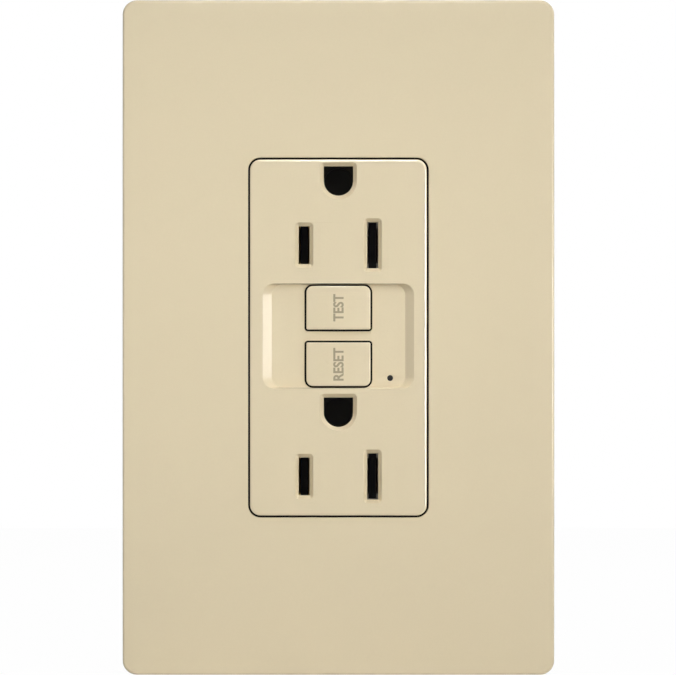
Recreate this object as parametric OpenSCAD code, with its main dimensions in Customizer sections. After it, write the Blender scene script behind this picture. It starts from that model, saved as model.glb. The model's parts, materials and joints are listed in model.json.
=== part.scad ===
// Ground-fault receptacle with a screwless wall plate, one gang.
// Millimetres. X to the right, Y back into the wall, Z up. The wall surface is the plane Y = 0,
// and the origin is the middle of the wall plate on that plane.

/* [Wall plate] */
// Width of the clip-on cover
plate_w = 80; // [78:0.5:86]
// Height of the clip-on cover
plate_h = 125; // [122:0.5:132]
// Height of the cover above the wall, at the middle of its crown
plate_d = 7; // [6.8:0.1:7.2]
// How far the crown falls back at the top and bottom edges
plate_crown = 1; // [0.5:0.1:1.2]
// Corner radius of the cover
plate_r = 2.6; // [2.2:0.1:5]
// Wall thickness of the cover
plate_wall = 1.8; // [1.6:0.1:2]
// Width of the opening for the device face
opening_w = 33.4; // [33.3:0.05:33.8]
// Height of the opening for the device face
opening_h = 66.6; // [66.5:0.05:67]

/* [Device face] */
// Width of the device face
face_w = 32.84; // [32.6:0.02:32.9]
// Height of the device face
face_h = 66.04; // [65.8:0.02:66.1]
// Corner radius of the device face
face_r = 1.95; // [1.6:0.05:2.4]
// Height of the face above the wall
face_d = 7.3; // [7.2:0.05:7.4]
// Depth of the sunk panel around the buttons
panel_depth = 1.25; // [0.8:0.05:1.4]
// Width of the sunk panel at the face
panel_w = 28; // [27:0.1:29]
// Height of the sunk panel at the face
panel_h = 19.4; // [19:0.1:19.6]
// Run of the sloped left and right walls of the panel
panel_slope = 1.65; // [1:0.05:2]

/* [Receptacles] */
// Distance between the two blade slots
blade_spacing = 12.7; // [12.6:0.05:12.8]
// Distance from the blade slots up to the ground hole
ground_offset = 11.9; // [11.8:0.05:12]
// Height of the upper blade slots above the device centre
upper_row = 17.1; // [17:0.05:17.3]
// Height of the lower blade slots above the device centre
lower_row = -25.75; // [-25.8:0.05:-25.6]
// Width of a blade slot
slot_w = 1.95; // [1.8:0.05:2.1]
// Height of the hot slot
hot_slot_h = 6.95; // [6.6:0.05:7.2]
// Height of the neutral slot
neutral_slot_h = 8.55; // [8.2:0.05:8.8]
// Width of the ground hole
ground_w = 5.3; // [5.1:0.05:5.4]
// Width of the sunk margin around each slot
slot_margin = 0.7; // [0.4:0.05:0.8]

/* [Buttons] */
// Width of a button
button_w = 11.94; // [11.8:0.02:12]
// Height of a button
button_h = 8.13; // [8:0.02:8.2]
// Clear gap around a button
button_gap = 0.28; // [0.2:0.02:0.35]
// Height of the bridge between the buttons
bridge_h = 1.78; // [1.6:0.02:2]
// Height of the middle of the button pair above the device centre
button_mid = 0.28; // [0.2:0.02:0.4]
// Travel of the test button
test_travel = 1.6; // [1.2:0.1:1.6]
// Travel of the reset button and of the contact lifter
reset_travel = 2; // [1.5:0.1:2]

/* [Body] */
// Width of the body in the wall box
body_w = 40; // [40:0.2:42]
// Height of the body in the wall box
body_h = 68; // [68:0.2:70]
// Depth of the body behind the wall surface
body_d = 28; // [28:0.2:31]
// Thickness of the mounting strap
strap_t = 1.3; // [1.2:0.05:1.4]
// Spacing of the wall box screws
box_pitch = 83.3; // [83.2:0.05:83.4]
// Spacing of the wall plate screws
plate_screw_pitch = 96.8; // [96.7:0.05:96.9]

/* [Terminals] */
// Height of the load terminal screws above the device centre
load_z = 12; // [11.9:0.05:12.1]
// Height of the line terminal screws above the device centre
line_z = -12; // [-12.1:0.05:-11.9]
// Depth of the terminal screws behind the wall surface
terminal_y = 16.9; // [16.8:0.05:17]
// Gap that the clamp plate leaves open for a wire
wire_gap = 2.1; // [2:0.05:2.2]

/* [Hidden] */
$fn = 48;
eps = 0.02;

// Colours
ivory = [0.87, 0.82, 0.69];
frame_grey = [0.80, 0.79, 0.75];
body_dark = [0.13, 0.13, 0.14];
carrier_dark = [0.20, 0.20, 0.21];
zinc = [0.74, 0.74, 0.72];
brass = [0.80, 0.62, 0.30];
nickel = [0.78, 0.77, 0.74];
copper = [0.72, 0.42, 0.22];
ground_green = [0.16, 0.42, 0.20];
board_green = [0.10, 0.34, 0.18];
bobbin_white = [0.85, 0.84, 0.80];
case_black = [0.10, 0.10, 0.10];

// Cover and frame
crown_r = (pow(plate_h / 2, 2) + pow(plate_crown, 2)) / (2 * plate_crown);
crown_fn = 1800;
cover_back = 0.2;
opening_r = face_r + 0.28;
collar_wall = 1.3;
collar_back = 3.2;
frame_t = 1.6;
frame_edge = plate_wall + 0.7;
frame_w = plate_w - 2 * frame_edge;
frame_h = plate_h - 2 * frame_edge;
frame_front = strap_t + frame_t;
frame_r = 2;
frame_clear = 1.4;
rim_inset = 1.2;
rim_wall = 1.6;
pad_gap = 0.05;
pad_len = 9;
plate_screw_z = plate_screw_pitch / 2;
plate_screw_head_r = 2.9;
plate_screw_head_t = 1.2;
screw_clear = 0.15;
box_screw_z = box_pitch / 2;

// Threads, taken at their major diameter
thread_r = 1.75;
shank_r = 1.7;

// Face
face_wall = 2;
face_side = 1.5;
face_inner = face_d - face_wall;
ground_r = ground_w / 2;
ground_top = ground_r + 0.07;
margin_depth = 0.8;
panel_r = 2.1;
panel_draft = 0.1;
shroud_wall = 0.8;
rows = [upper_row, lower_row];
boss_x = 12.9;
boss_z = 29.6;
boss_r = 2.5;
assembly_r = 1.45;

// Buttons
test_z = button_mid + bridge_h / 2 + button_gap + button_h / 2;
reset_z = button_mid - bridge_h / 2 - button_gap - button_h / 2;
button_crown = 0.3;
button_crown_r = (pow(button_w / 2, 2) + pow(button_crown, 2)) / (2 * button_crown);
button_front = face_d;
button_back = strap_t + reset_travel + 0.2;
button_corner = 1.2;
button_inner_corner = 0.3;
flange_side = 0.93;
stem_r = 2;
stem_end = 4.5;
pin_r = 1.2;
pin_bore = 1.22;
pin_front = -2.1;
pin_end = 21;
guide_r = 1.35;
pocket_r = 3.3;
pocket_floor = 7.5;

// Indicator
lamp_x = 9.58;
lamp_z = -7.51;
lamp_hole_r = 0.55;
lamp_r = 1.4;
lamp_front = 20.4;
pipe_r = 0.9;

// Contact carrier
carrier_back = 13.4;
bus_front = 11.4;
bus_t = 0.8;
bus_back = bus_front + bus_t;
bus_x = 6.25;
bus_w = 3.3;
bus_end = 4.9;
cavity_w = 4.6;
cavity_h = 10;
clip_h = 6.4;
clip_gap = 0.72;
relief_h = 8.7;
well_r = 2.6;
well_back = 15.2;
fixed_contact_x = 6.3;
fixed_contact_z = -1.5;
fixed_contact_r = 2;
contact_meet = 14.2;

// Terminals: x positions are on the right side and are mirrored for the left
plate_x = 15;
terminal_t = 1;
clamp_x = plate_x + terminal_t + wire_gap;
clamp_t = 1;
head_x = clamp_x + clamp_t + 0.05;
head_t = 2.15;
head_r = 3.2;
screw_reach = 7.55;
terminal_half = 4.5;
clamp_half = 4.2;
terminal_back = 20.5;
pocket_half = 5.6;
pocket_back = 22;

// Ground terminal on the strap
ground_tab_x = 8;
ground_tab_z = 38.4;
ground_tab_y = 5.5;
ground_clamp_x = ground_tab_x + strap_t + wire_gap;
ground_head_x = ground_clamp_x + clamp_t + 0.05;

// Rear housing
wall = 1.6;
partition_x = 13.2;
partition_t = 1.6;
back_wall = 1.8;
wire_hole = 2.6;
wire_funnel = 3.8;
wire_spread = 3.4;
head_recess = 2.4;
assembly_head_r = 2.7;
rear_boss_r = 3.7;

// Circuit board and trip mechanism
board_front = body_d - 3.6;
board_t = 1.6;
board_w = 25.8;
board_h = 53;
plunger_y = 18.4;
coil_bottom = 8.6;
coil_top = 24.4;
yoke_t = 1.2;
arm_y = 15.05;
arm_t = 0.6;
arm_w = 3.8;
arm_root = -24.6;
arm_end = -26.5;
arm_tip = 0.5;
ring_z = -24.5;
ring_y = [16.9, 20.5];
ring_inner = 3;
ring_outer = 6.2;
latch_t = 0.8;
latch_half = 2.2;
latch_y = plunger_y - latch_t / 2;
latch_top = reset_z + 5.55;
core_bore = 2.05;
bobbin_r = 2.7;
bobbin_flange_r = 4.4;
bobbin_flange_t = 0.8;
collar_z = 28;
collar_t = 0.8;

// Prism of an outline in x and z, from y0 back to y1
module prism_y(y0, y1) {
  translate([0, y1, 0]) rotate([90, 0, 0]) linear_extrude(y1 - y0) children();
}

// Box between two corners given as ranges
module block(xs, ys, zs) {
  translate([min(xs), min(ys), min(zs)])
    cube([abs(xs[1] - xs[0]), abs(ys[1] - ys[0]), abs(zs[1] - zs[0])]);
}

// Round rod along Y at (x, z)
module rod_y(x, z, r, y0, y1) {
  translate([x, y1, z]) rotate([90, 0, 0]) cylinder(r = r, h = y1 - y0);
}

// Round rod along X at (y, z)
module rod_x(y, z, r, x0, x1) {
  translate([min(x0, x1), y, z]) rotate([0, 90, 0]) cylinder(r = r, h = abs(x1 - x0));
}

// Rectangle with round corners, centred
module round_rect(w, h, r) {
  square([w - 2 * r, h], center = true);
  square([w, h - 2 * r], center = true);
  for (x = [-1, 1], z = [-1, 1])
    translate([x * (w / 2 - r), z * (h / 2 - r)]) circle(r);
}

// Slot with round ends along x, centred
module long_slot(length, r) {
  square([length - 2 * r, 2 * r], center = true);
  for (x = [-1, 1]) translate([x * (length / 2 - r), 0]) circle(r);
}

// Ground hole: round below, square above, grown by a margin
module ground_outline(grow = 0) {
  circle(ground_r + grow);
  translate([-ground_r - grow, 0]) square([ground_w + 2 * grow, ground_top + grow]);
}

// Blade slot outline, grown by a margin
module slot_outline(h, grow = 0) {
  square([slot_w + 2 * grow, h + 2 * grow], center = true);
}

// Slot height on one side: hot on the left, neutral on the right
function slot_h(side) = side < 0 ? hot_slot_h : neutral_slot_h;

// Body between the wall side and a surface that is crowned from top to bottom
module under_crown(front) {
  intersection() {
    children();
    translate([-plate_w, crown_r - front, 0])
      rotate([0, 90, 0]) cylinder(r = crown_r, h = 2 * plate_w, $fn = crown_fn);
  }
}

// Round wire wound into a compression spring along +Z from z = 0
module coil_spring(r, wire_r, length, turns) {
  sides = 6;
  steps = 10 * turns;
  pitch = (length - 2 * wire_r) / steps;
  points = [
    for (i = [0 : steps], k = [0 : sides - 1])
      let (turn = 360 * turns * i / steps, a = 360 * k / sides, reach = r + wire_r * cos(a))
        [reach * cos(turn), reach * sin(turn), wire_r + pitch * i + wire_r * sin(a)]
  ];
  walls = [
    for (i = [0 : steps - 1], k = [0 : sides - 1])
      let (a = i * sides + k, b = i * sides + (k + 1) % sides)
        each [[a, b, b + sides], [a, b + sides, a + sides]]
  ];
  start_cap = [for (k = [1 : sides - 2]) [0, k + 1, k]];
  last = steps * sides;
  end_cap = [for (k = [1 : sides - 2]) [last, last + k, last + k + 1]];
  polyhedron(points, [for (f = concat(walls, start_cap, end_cap)) [f[0], f[2], f[1]]]);
}

// Clip-on cover: a thin crowned shell with a collar around the opening
module wallplate_cover() {
  inner_r = max(plate_r - plate_wall, 0.8);
  color(ivory) {
    difference() {
      under_crown(plate_d)
        prism_y(-plate_d - 1, -cover_back) round_rect(plate_w, plate_h, plate_r);
      under_crown(plate_d - plate_wall)
        prism_y(-plate_d - 1, 1)
          round_rect(plate_w - 2 * plate_wall, plate_h - 2 * plate_wall, inner_r);
      prism_y(-plate_d - 1, 1) round_rect(opening_w, opening_h, opening_r);
    }
    difference() {
      under_crown(plate_d - plate_wall / 2)
        prism_y(-plate_d, -collar_back)
          round_rect(opening_w + 2 * collar_wall, opening_h + 2 * collar_wall, opening_r + collar_wall);
      prism_y(-plate_d - 1, 1) round_rect(opening_w, opening_h, opening_r);
    }
    cover_pads();
  }
}

// Grip pads inside the cover's rim that hold it on the frame
module cover_pads() {
  pad_y = [-frame_front + pad_gap, -2 * cover_back];
  for (side = [-1, 1], at = [-1, 1]) {
    block([side * (frame_w / 2 + pad_gap), side * (plate_w / 2 - plate_wall + eps)], pad_y,
          [at * plate_h / 3 - pad_len / 2, at * plate_h / 3 + pad_len / 2]);
    block([at * plate_w / 4 - pad_len / 2, at * plate_w / 4 + pad_len / 2], pad_y,
          [side * (frame_h / 2 + pad_gap), side * (plate_h / 2 - plate_wall + eps)]);
  }
}

// Frame that is screwed to the strap and carries the cover
module wallplate_frame() {
  rim_w = frame_w - 2 * rim_inset;
  rim_h = frame_h - 2 * rim_inset;
  notch_w = 7.4;
  notch_top = box_screw_z + 3.4;
  sink_r = plate_screw_head_r + 0.07;
  sink_t = plate_screw_head_t + 0.07;
  color(frame_grey)
    difference() {
      union() {
        prism_y(-frame_front, -strap_t) round_rect(frame_w, frame_h, frame_r);
        difference() {
          prism_y(-strap_t - eps, 0) round_rect(rim_w, rim_h, frame_r);
          prism_y(-strap_t - 1, 1) square([rim_w - 2 * rim_wall, rim_h - 2 * rim_wall], center = true);
        }
      }
      prism_y(-frame_front - 1, 1) round_rect(face_w + frame_clear, face_h + frame_clear, frame_r);
      for (end = [-1, 1]) {
        block([-notch_w / 2, notch_w / 2], [-frame_front - 1, 1], [end * face_h / 2, end * notch_top]);
        rod_y(0, end * plate_screw_z, shank_r + screw_clear, -frame_front - 1, 0);
        translate([0, -frame_front, end * plate_screw_z]) rotate([-90, 0, 0])
          cylinder(r1 = sink_r, r2 = shank_r + screw_clear, h = sink_t);
      }
    }
}

// Two flat-head screws that hold the frame to the strap
module wallplate_screws() {
  tip = 5;
  drive_w = 0.8;
  drive_depth = 0.6;
  color(zinc)
    for (end = [-1, 1])
      translate([0, -frame_front, end * plate_screw_z])
        difference() {
          union() {
            translate([0, eps, 0]) rotate([-90, 0, 0])
              cylinder(r1 = plate_screw_head_r, r2 = shank_r, h = plate_screw_head_t);
            rod_y(0, 0, shank_r, plate_screw_head_t - eps, frame_front + tip);
          }
          block([-plate_screw_head_r - 1, plate_screw_head_r + 1], [-1, drive_depth],
                [-drive_w / 2, drive_w / 2]);
        }
}

// Moulded face with the slots, the sunk panel and the button openings
module face_cover() {
  color(ivory)
    difference() {
      union() {
        difference() {
          prism_y(-face_d, -strap_t) round_rect(face_w, face_h, face_r);
          prism_y(-face_inner, 0)
            round_rect(face_w - 2 * face_side, face_h - 2 * face_side, face_r - face_side + 0.4);
        }
        face_shrouds();
        for (x = [-1, 1], z = [-1, 1]) rod_y(x * boss_x, z * boss_z, boss_r, -face_inner - eps, -strap_t);
      }
      face_slots();
      sunk_panel();
      for (side = [-1, 1])
        prism_y(-face_d - 1, -strap_t + 1)
          translate([0, button_mid]) mirror([0, side < 0 ? 1 : 0])
            translate([0, bridge_h / 2 + button_gap + button_h / 2])
              button_outline(button_gap);
      rod_y(lamp_x, lamp_z, lamp_hole_r, -face_d - 1, -strap_t + 1);
      for (x = [-1, 1], z = [-1, 1])
        rod_y(x * boss_x, z * boss_z, assembly_r + 0.05, -face_inner + 0.3, 0);
    }
}

// Guides behind the slots that lead the plug blades to their contacts
module face_shrouds() {
  prism_y(-face_inner - eps, -strap_t - 0.1)
    for (row = rows) {
      for (side = [-1, 1])
        translate([side * blade_spacing / 2, row]) slot_outline(slot_h(side), shroud_wall);
      translate([0, row + ground_offset]) ground_outline(shroud_wall);
    }
}

// Slots and ground holes with their sunk margins
module face_slots() {
  for (row = rows) {
    for (side = [-1, 1])
      translate([side * blade_spacing / 2, 0, row]) {
        prism_y(-face_d - 1, 0) slot_outline(slot_h(side));
        sunk_margin() slot_outline(slot_h(side));
      }
    translate([0, 0, row + ground_offset]) {
      prism_y(-face_d - 1, 0) ground_outline();
      sunk_margin() ground_outline();
    }
  }
}

// Funnel from an outline grown by the margin at the face down to the outline itself
module sunk_margin() {
  hull() {
    prism_y(-face_d - 0.1, -face_d) offset(r = slot_margin, $fn = 32) children();
    prism_y(-face_d + margin_depth - eps, -face_d + margin_depth) children();
  }
}

// Panel around the buttons, with sloped left and right walls
module sunk_panel() {
  translate([0, 0, button_mid])
    hull() {
      prism_y(-face_d - 0.2, -face_d) round_rect(panel_w, panel_h, panel_r, $fn = 32);
      prism_y(-face_d + panel_depth - eps, -face_d + panel_depth)
        round_rect(panel_w - 2 * panel_slope, panel_h - 2 * panel_draft, panel_r, $fn = 32);
    }
}

// Button outline with its round corners at the top, centred, grown by a gap
module button_outline(grow = 0) {
  w = button_w + 2 * grow;
  h = button_h + 2 * grow;
  r = button_corner + grow / 2;
  s = button_inner_corner;
  square([w - 2 * r, h], center = true);
  translate([-w / 2, -h / 2 + s]) square([w, h - r - s]);
  translate([-w / 2 + s, -h / 2]) square([w - 2 * s, h / 2]);
  for (x = [-1, 1]) {
    translate([x * (w / 2 - r), h / 2 - r]) circle(r);
    translate([x * (w / 2 - s), -h / 2 + s]) circle(s);
  }
}

// Push button with a crowned cap, side flanges and a stem; corners round at the top
module push_button() {
  flange_front = face_inner - 0.1;
  flange_z = [-1.2, 1.2];
  intersection() {
    prism_y(-button_front - 1, -button_back) button_outline();
    translate([0, button_crown_r - button_front, -button_h])
      cylinder(r = button_crown_r, h = 2 * button_h, $fn = 400);
  }
  block([-button_w / 2 - flange_side, button_w / 2 + flange_side], [-flange_front, -button_back], flange_z);
  rod_y(0, 0, stem_r, -button_back - eps, stem_end);
}

module test_button() {
  post_end = contact_meet - test_travel - 0.1;
  color(ivory) translate([0, 0, test_z]) {
    push_button();
    rod_y(0, 0, pin_r, stem_end - eps, post_end);
  }
}

module reset_button() {
  color(ivory) translate([0, 0, reset_z])
    difference() {
      mirror([0, 0, 1]) push_button();
      rod_y(0, 0, pin_bore, pin_front - 0.1, stem_end + 1);
    }
}

// Steel pin in the reset button, with the groove that the latch plate catches
module reset_pin() {
  groove_r = 0.75;
  groove = 0.15;
  color(nickel) translate([0, 0, reset_z])
    difference() {
      rod_y(0, 0, pin_r, pin_front, pin_end);
      difference() {
        rod_y(0, 0, pin_r + 1, latch_y - groove, latch_y + latch_t + groove);
        rod_y(0, 0, groove_r, latch_y - 1, latch_y + latch_t + 1);
      }
    }
}

// Light pipe from the lamp on the board to the hole in the face
module indicator_light_pipe() {
  color([0.85, 0.9, 0.88]) {
    rod_y(lamp_x, lamp_z, lamp_hole_r - 0.05, -face_d + panel_depth + 0.1, -face_inner + 0.2);
    rod_y(lamp_x, lamp_z, pipe_r, -face_inner + 0.1, lamp_front - 0.4);
  }
}

// Outline of the strap: a wide middle, two ends and break-off plaster ears
module strap_outline() {
  end_w = 16;
  end_z = 53;
  ear_x = 10.4;
  ear_z = 47.6;
  ear_r = 4.9;
  neck = 3;
  round_rect(face_w - 2.4, face_h, 1.5);
  for (end = [-1, 1]) {
    translate([0, end * (end_z + face_h / 2 - 2) / 2]) round_rect(end_w, end_z - face_h / 2 + 2, 2);
    for (x = [-1, 1]) {
      translate([x * ear_x, end * ear_z]) circle(ear_r);
      translate([x * ear_x / 2, end * ear_z]) square([ear_x, neck], center = true);
    }
  }
}

// Steel strap that carries the device, with its ground terminal tab
module mounting_strap() {
  window_w = 6.4;
  window_h = 11.2;
  button_window = [13.6, 20];
  box_slot = 6.4;
  box_slot_r = 1.95;
  tab_half = 4;
  tab_back = 10.5;
  color(zinc)
    difference() {
      union() {
        prism_y(-strap_t, 0) strap_outline();
        block([ground_tab_x - eps, ground_tab_x + strap_t], [-strap_t, tab_back],
              [ground_tab_z - tab_half, ground_tab_z + tab_half]);
      }
      prism_y(-strap_t - 1, 1) {
        for (row = rows) {
          for (side = [-1, 1])
            translate([side * blade_spacing / 2, row]) square([window_w, window_h], center = true);
          translate([0, row + ground_offset]) ground_outline(0.5);
        }
        translate([0, button_mid]) square(button_window, center = true);
        for (end = [-1, 1]) translate([0, end * box_screw_z]) long_slot(box_slot, box_slot_r);
      }
      for (end = [-1, 1]) rod_y(0, end * plate_screw_z, thread_r, -strap_t - 1, 1);
      for (x = [-1, 1], z = [-1, 1]) rod_y(x * boss_x, z * boss_z, assembly_r + 0.25, -strap_t - 1, 1);
      rod_y(lamp_x, lamp_z, pipe_r + 0.4, -strap_t - 1, 1);
      rod_x(ground_tab_y, ground_tab_z, thread_r, ground_tab_x - 1, ground_tab_x + strap_t + 1);
    }
}

// Two screws that hold the strap to the wall box, free behind the strap
module mounting_screws() {
  pan_r = 3.1;
  pan_t = 2;
  neck_r = 1.3;
  tip = 22;
  drive_w = 0.9;
  drive_depth = 0.9;
  pan_back = -strap_t - eps;
  color(zinc)
    for (end = [-1, 1])
      translate([0, 0, end * box_screw_z])
        difference() {
          union() {
            rod_y(0, 0, pan_r, pan_back - pan_t, pan_back);
            rod_y(0, 0, neck_r, pan_back - eps, eps);
            rod_y(0, 0, thread_r, 0, tip);
          }
          block([-pan_r - 1, pan_r + 1], [pan_back - pan_t - 1, pan_back - pan_t + drive_depth],
                [-drive_w / 2, drive_w / 2]);
        }
}

// Two ground clips fixed to the back of the strap
module ground_contacts() {
  base_w = 7.6;
  base_h = 6.8;
  base_t = 0.7;
  leaf_x = ground_r + 0.15;
  leaf_t = 0.6;
  leaf_h = 4;
  leaf_end = 11;
  color(brass)
    for (row = rows)
      translate([0, 0, row + ground_offset]) {
        difference() {
          prism_y(0, base_t) square([base_w, base_h], center = true);
          prism_y(-1, base_t + 1) ground_outline(0.15);
        }
        for (side = [-1, 1])
          block([side * leaf_x, side * (leaf_x + leaf_t)], [base_t - eps, leaf_end],
                [-leaf_h / 2, leaf_h / 2]);
      }
}

// Moulded carrier between strap and rear housing, with cavities for the contacts
module contact_carrier() {
  deep = bus_back;
  collar_front = strap_t - 0.05;
  clip_cavity = [8.2, 7.2];
  tab_half = 3.2;
  slack = 0.1;
  color(carrier_dark)
    difference() {
      union() {
        prism_y(0, carrier_back) round_rect(body_w, body_h, 2.5);
        for (row = rows) {
          for (side = [-1, 1])
            translate([side * blade_spacing / 2, 0, row])
              prism_y(-collar_front, eps) square([cavity_w + 1.4, cavity_h + 0.8], center = true);
          rod_y(0, row + ground_offset, well_r + 0.5, carrier_back - eps, well_back + 0.8);
        }
      }
      for (row = rows) {
        for (side = [-1, 1])
          translate([side * blade_spacing / 2, 0, row])
            prism_y(-2, deep) square([cavity_w, cavity_h], center = true);
        translate([0, 0, row + ground_offset]) prism_y(-1, deep) square(clip_cavity, center = true);
        rod_y(0, row + ground_offset, well_r, deep - 1, well_back);
      }
      for (side = [-1, 1]) {
        block([side * (bus_x - bus_w / 2 - 2 * slack), side * (bus_x + bus_w / 2 + 2 * slack)], [-1, deep],
              [lower_row, upper_row]);
        block([side * bus_x, side * (plate_x + terminal_t + slack)], [-1, deep],
              [load_z - tab_half, load_z + tab_half]);
        block([side * (plate_x - slack), side * (plate_x + terminal_t + slack)], [-1, carrier_back + 1],
              [load_z - terminal_half - slack, load_z + terminal_half + slack]);
        rod_y(side * fixed_contact_x, fixed_contact_z, fixed_contact_r + 0.3, deep - 1, carrier_back + 1);
      }
      for (z = [test_z, reset_z]) {
        rod_y(0, z, pocket_r, -1, pocket_floor);
        rod_y(0, z, guide_r, pocket_floor - 1, carrier_back + 1);
      }
      for (x = [-1, 1], z = [-1, 1])
        rod_y(x * boss_x, z * boss_z, assembly_r + screw_clear, -1, carrier_back + 1);
      rod_y(lamp_x, lamp_z, pipe_r + screw_clear, -1, carrier_back + 1);
    }
}

// One clip that grips a plug blade, centred on the slot
module blade_clip() {
  tip = 0.6;
  pinch = 3;
  leaf_t = 0.6;
  flare = 0.6;
  root = bus_front + eps;
  leaf = [
    [clip_gap, root], [clip_gap, pinch], [clip_gap + flare, tip],
    [clip_gap + flare + leaf_t, tip], [clip_gap + leaf_t, pinch], [clip_gap + leaf_t, root]
  ];
  for (side = [-1, 1])
    mirror([side < 0 ? 1 : 0, 0, 0])
      translate([0, 0, -clip_h / 2]) linear_extrude(clip_h) polygon(leaf);
}

// Bus bar for one pole: two blade clips over open reliefs, the fixed contact and the load terminal plate
module load_bus(side, tint) {
  color(tint)
    difference() {
      union() {
        block([side * (bus_x - bus_w / 2), side * (bus_x + bus_w / 2)], [bus_front, bus_back],
              [lower_row - bus_end, upper_row + bus_end]);
        for (row = rows) translate([side * blade_spacing / 2, 0, row]) blade_clip();
        block([side * bus_x, side * (plate_x + terminal_t)], [bus_front, bus_back], [load_z - 3, load_z + 3]);
        block([side * plate_x, side * (plate_x + terminal_t)], [bus_front, terminal_back],
              [load_z - terminal_half, load_z + terminal_half]);
        rod_y(side * fixed_contact_x, fixed_contact_z, fixed_contact_r, bus_back - eps, contact_meet);
      }
      for (row = rows)
        translate([side * blade_spacing / 2, 0, row])
          prism_y(bus_front - 1, bus_back + 1) square([2 * clip_gap, relief_h], center = true);
      rod_x(terminal_y, load_z, thread_r, side * (plate_x - 1), side * (plate_x + terminal_t + 1));
    }
}

module load_hot_bus() { load_bus(-1, brass); }
module load_neutral_bus() { load_bus(1, nickel); }

// Line terminal plate with a tail to the circuit board
module line_terminal(side, tint) {
  tail_half = 2;
  tail_x = 12.2;
  tail_t = 0.8;
  color(tint)
    difference() {
      union() {
        block([side * plate_x, side * (plate_x + terminal_t)], [carrier_back + 0.2, terminal_back],
              [line_z - terminal_half, line_z + terminal_half]);
        block([side * tail_x, side * (plate_x + eps)], [terminal_back - tail_t, terminal_back],
              [line_z - tail_half, line_z + tail_half]);
        block([side * tail_x, side * (tail_x + tail_t)], [terminal_back - tail_t, board_front],
              [line_z - tail_half, line_z + tail_half]);
      }
      rod_x(terminal_y, line_z, thread_r, side * (plate_x - 1), side * (plate_x + terminal_t + 1));
    }
}

module line_hot_terminal() { line_terminal(-1, brass); }
module line_neutral_terminal() { line_terminal(1, nickel); }

// Plate that presses a wire on its terminal; x is its inner face
module clamp_plate(side, x, y, z, tint) {
  front = -3.1;
  back = 4.1;
  color(tint)
    difference() {
      block([side * x, side * (x + clamp_t)], [y + front, y + back], [z - clamp_half, z + clamp_half]);
      rod_x(y, z, shank_r + 0.1, side * (x - 1), side * (x + clamp_t + 1));
    }
}

module load_hot_clamp() { clamp_plate(-1, clamp_x, terminal_y, load_z, brass); }
module load_neutral_clamp() { clamp_plate(1, clamp_x, terminal_y, load_z, nickel); }
module line_hot_clamp() { clamp_plate(-1, clamp_x, terminal_y, line_z, brass); }
module line_neutral_clamp() { clamp_plate(1, clamp_x, terminal_y, line_z, nickel); }
module ground_clamp_plate() { clamp_plate(1, ground_clamp_x, ground_tab_y, ground_tab_z, zinc); }

// Terminal screw with a slotted head; x is the underside of the head
module terminal_screw(side, x, y, z, tint) {
  slot = 0.5;
  slot_depth = 1.2;
  color(tint)
    difference() {
      union() {
        rod_x(y, z, head_r, side * x, side * (x + head_t));
        rod_x(y, z, shank_r, side * (x + eps), side * (x - screw_reach));
      }
      block([side * (x + head_t - slot_depth), side * (x + head_t + 1)], [y - slot, y + slot],
            [z - head_r - 1, z + head_r + 1]);
    }
}

module load_hot_screw() { terminal_screw(-1, head_x, terminal_y, load_z, brass); }
module load_neutral_screw() { terminal_screw(1, head_x, terminal_y, load_z, nickel); }
module line_hot_screw() { terminal_screw(-1, head_x, terminal_y, line_z, brass); }
module line_neutral_screw() { terminal_screw(1, head_x, terminal_y, line_z, nickel); }
module ground_screw() { terminal_screw(1, ground_head_x, ground_tab_y, ground_tab_z, ground_green); }

// Rear housing: a box with four terminal pockets in its sides and wire holes in its back
module rear_housing() {
  tip_hole_r = 2.1;
  tail_slot = [terminal_back - 1.1, terminal_back + 0.3];
  tail_half = 2.2;
  funnel_depth = 1;
  back_panel = [22, 40];
  back_panel_depth = 0.3;
  color(body_dark)
    difference() {
      union() {
        difference() {
          prism_y(carrier_back, body_d) round_rect(body_w, body_h, 2.5);
          housing_cavity();
        }
        for (x = [-1, 1], z = [-1, 1])
          rod_y(x * boss_x, z * boss_z, rear_boss_r, carrier_back, body_d - 1);
      }
      for (side = [-1, 1], z = [line_z, load_z]) {
        block([side * (partition_x + partition_t), side * (body_w / 2 + 1)], [carrier_back - 1, pocket_back],
              [z - pocket_half, z + pocket_half]);
        rod_x(terminal_y, z, tip_hole_r, side * (partition_x - 1), side * (plate_x + 1));
        for (at = [-1, 1])
          translate([side * (plate_x + terminal_t + wire_gap / 2), 0, z + at * wire_spread]) {
            prism_y(pocket_back - 1, body_d + 1) square(wire_hole, center = true);
            prism_y(body_d - funnel_depth, body_d + 1) square(wire_funnel, center = true);
          }
      }
      for (side = [-1, 1])
        block([side * (partition_x - 1), side * (plate_x + 1)], tail_slot,
              [line_z - tail_half, line_z + tail_half]);
      for (x = [-1, 1], z = [-1, 1]) {
        rod_y(x * boss_x, z * boss_z, assembly_r + screw_clear, carrier_back - 1, body_d + 1);
        rod_y(x * boss_x, z * boss_z, assembly_head_r + 0.3, body_d - head_recess, body_d + 1);
      }
      prism_y(body_d - back_panel_depth, body_d + 1) round_rect(back_panel[0], back_panel[1], 1);
    }
}

// Hollow of the rear housing: narrow beside the terminal pockets, wide between them
module housing_cavity() {
  ys = [carrier_back - 1, body_d - back_wall];
  wide = body_w / 2 - wall;
  high = body_h / 2 - wall;
  gap = pocket_half + partition_t;
  block([-partition_x, partition_x], ys, [-high, high]);
  for (zs = [[-high, line_z - gap], [line_z + gap, load_z - gap], [load_z + gap, high]])
    block([-wide, wide], ys, zs);
}

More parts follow.
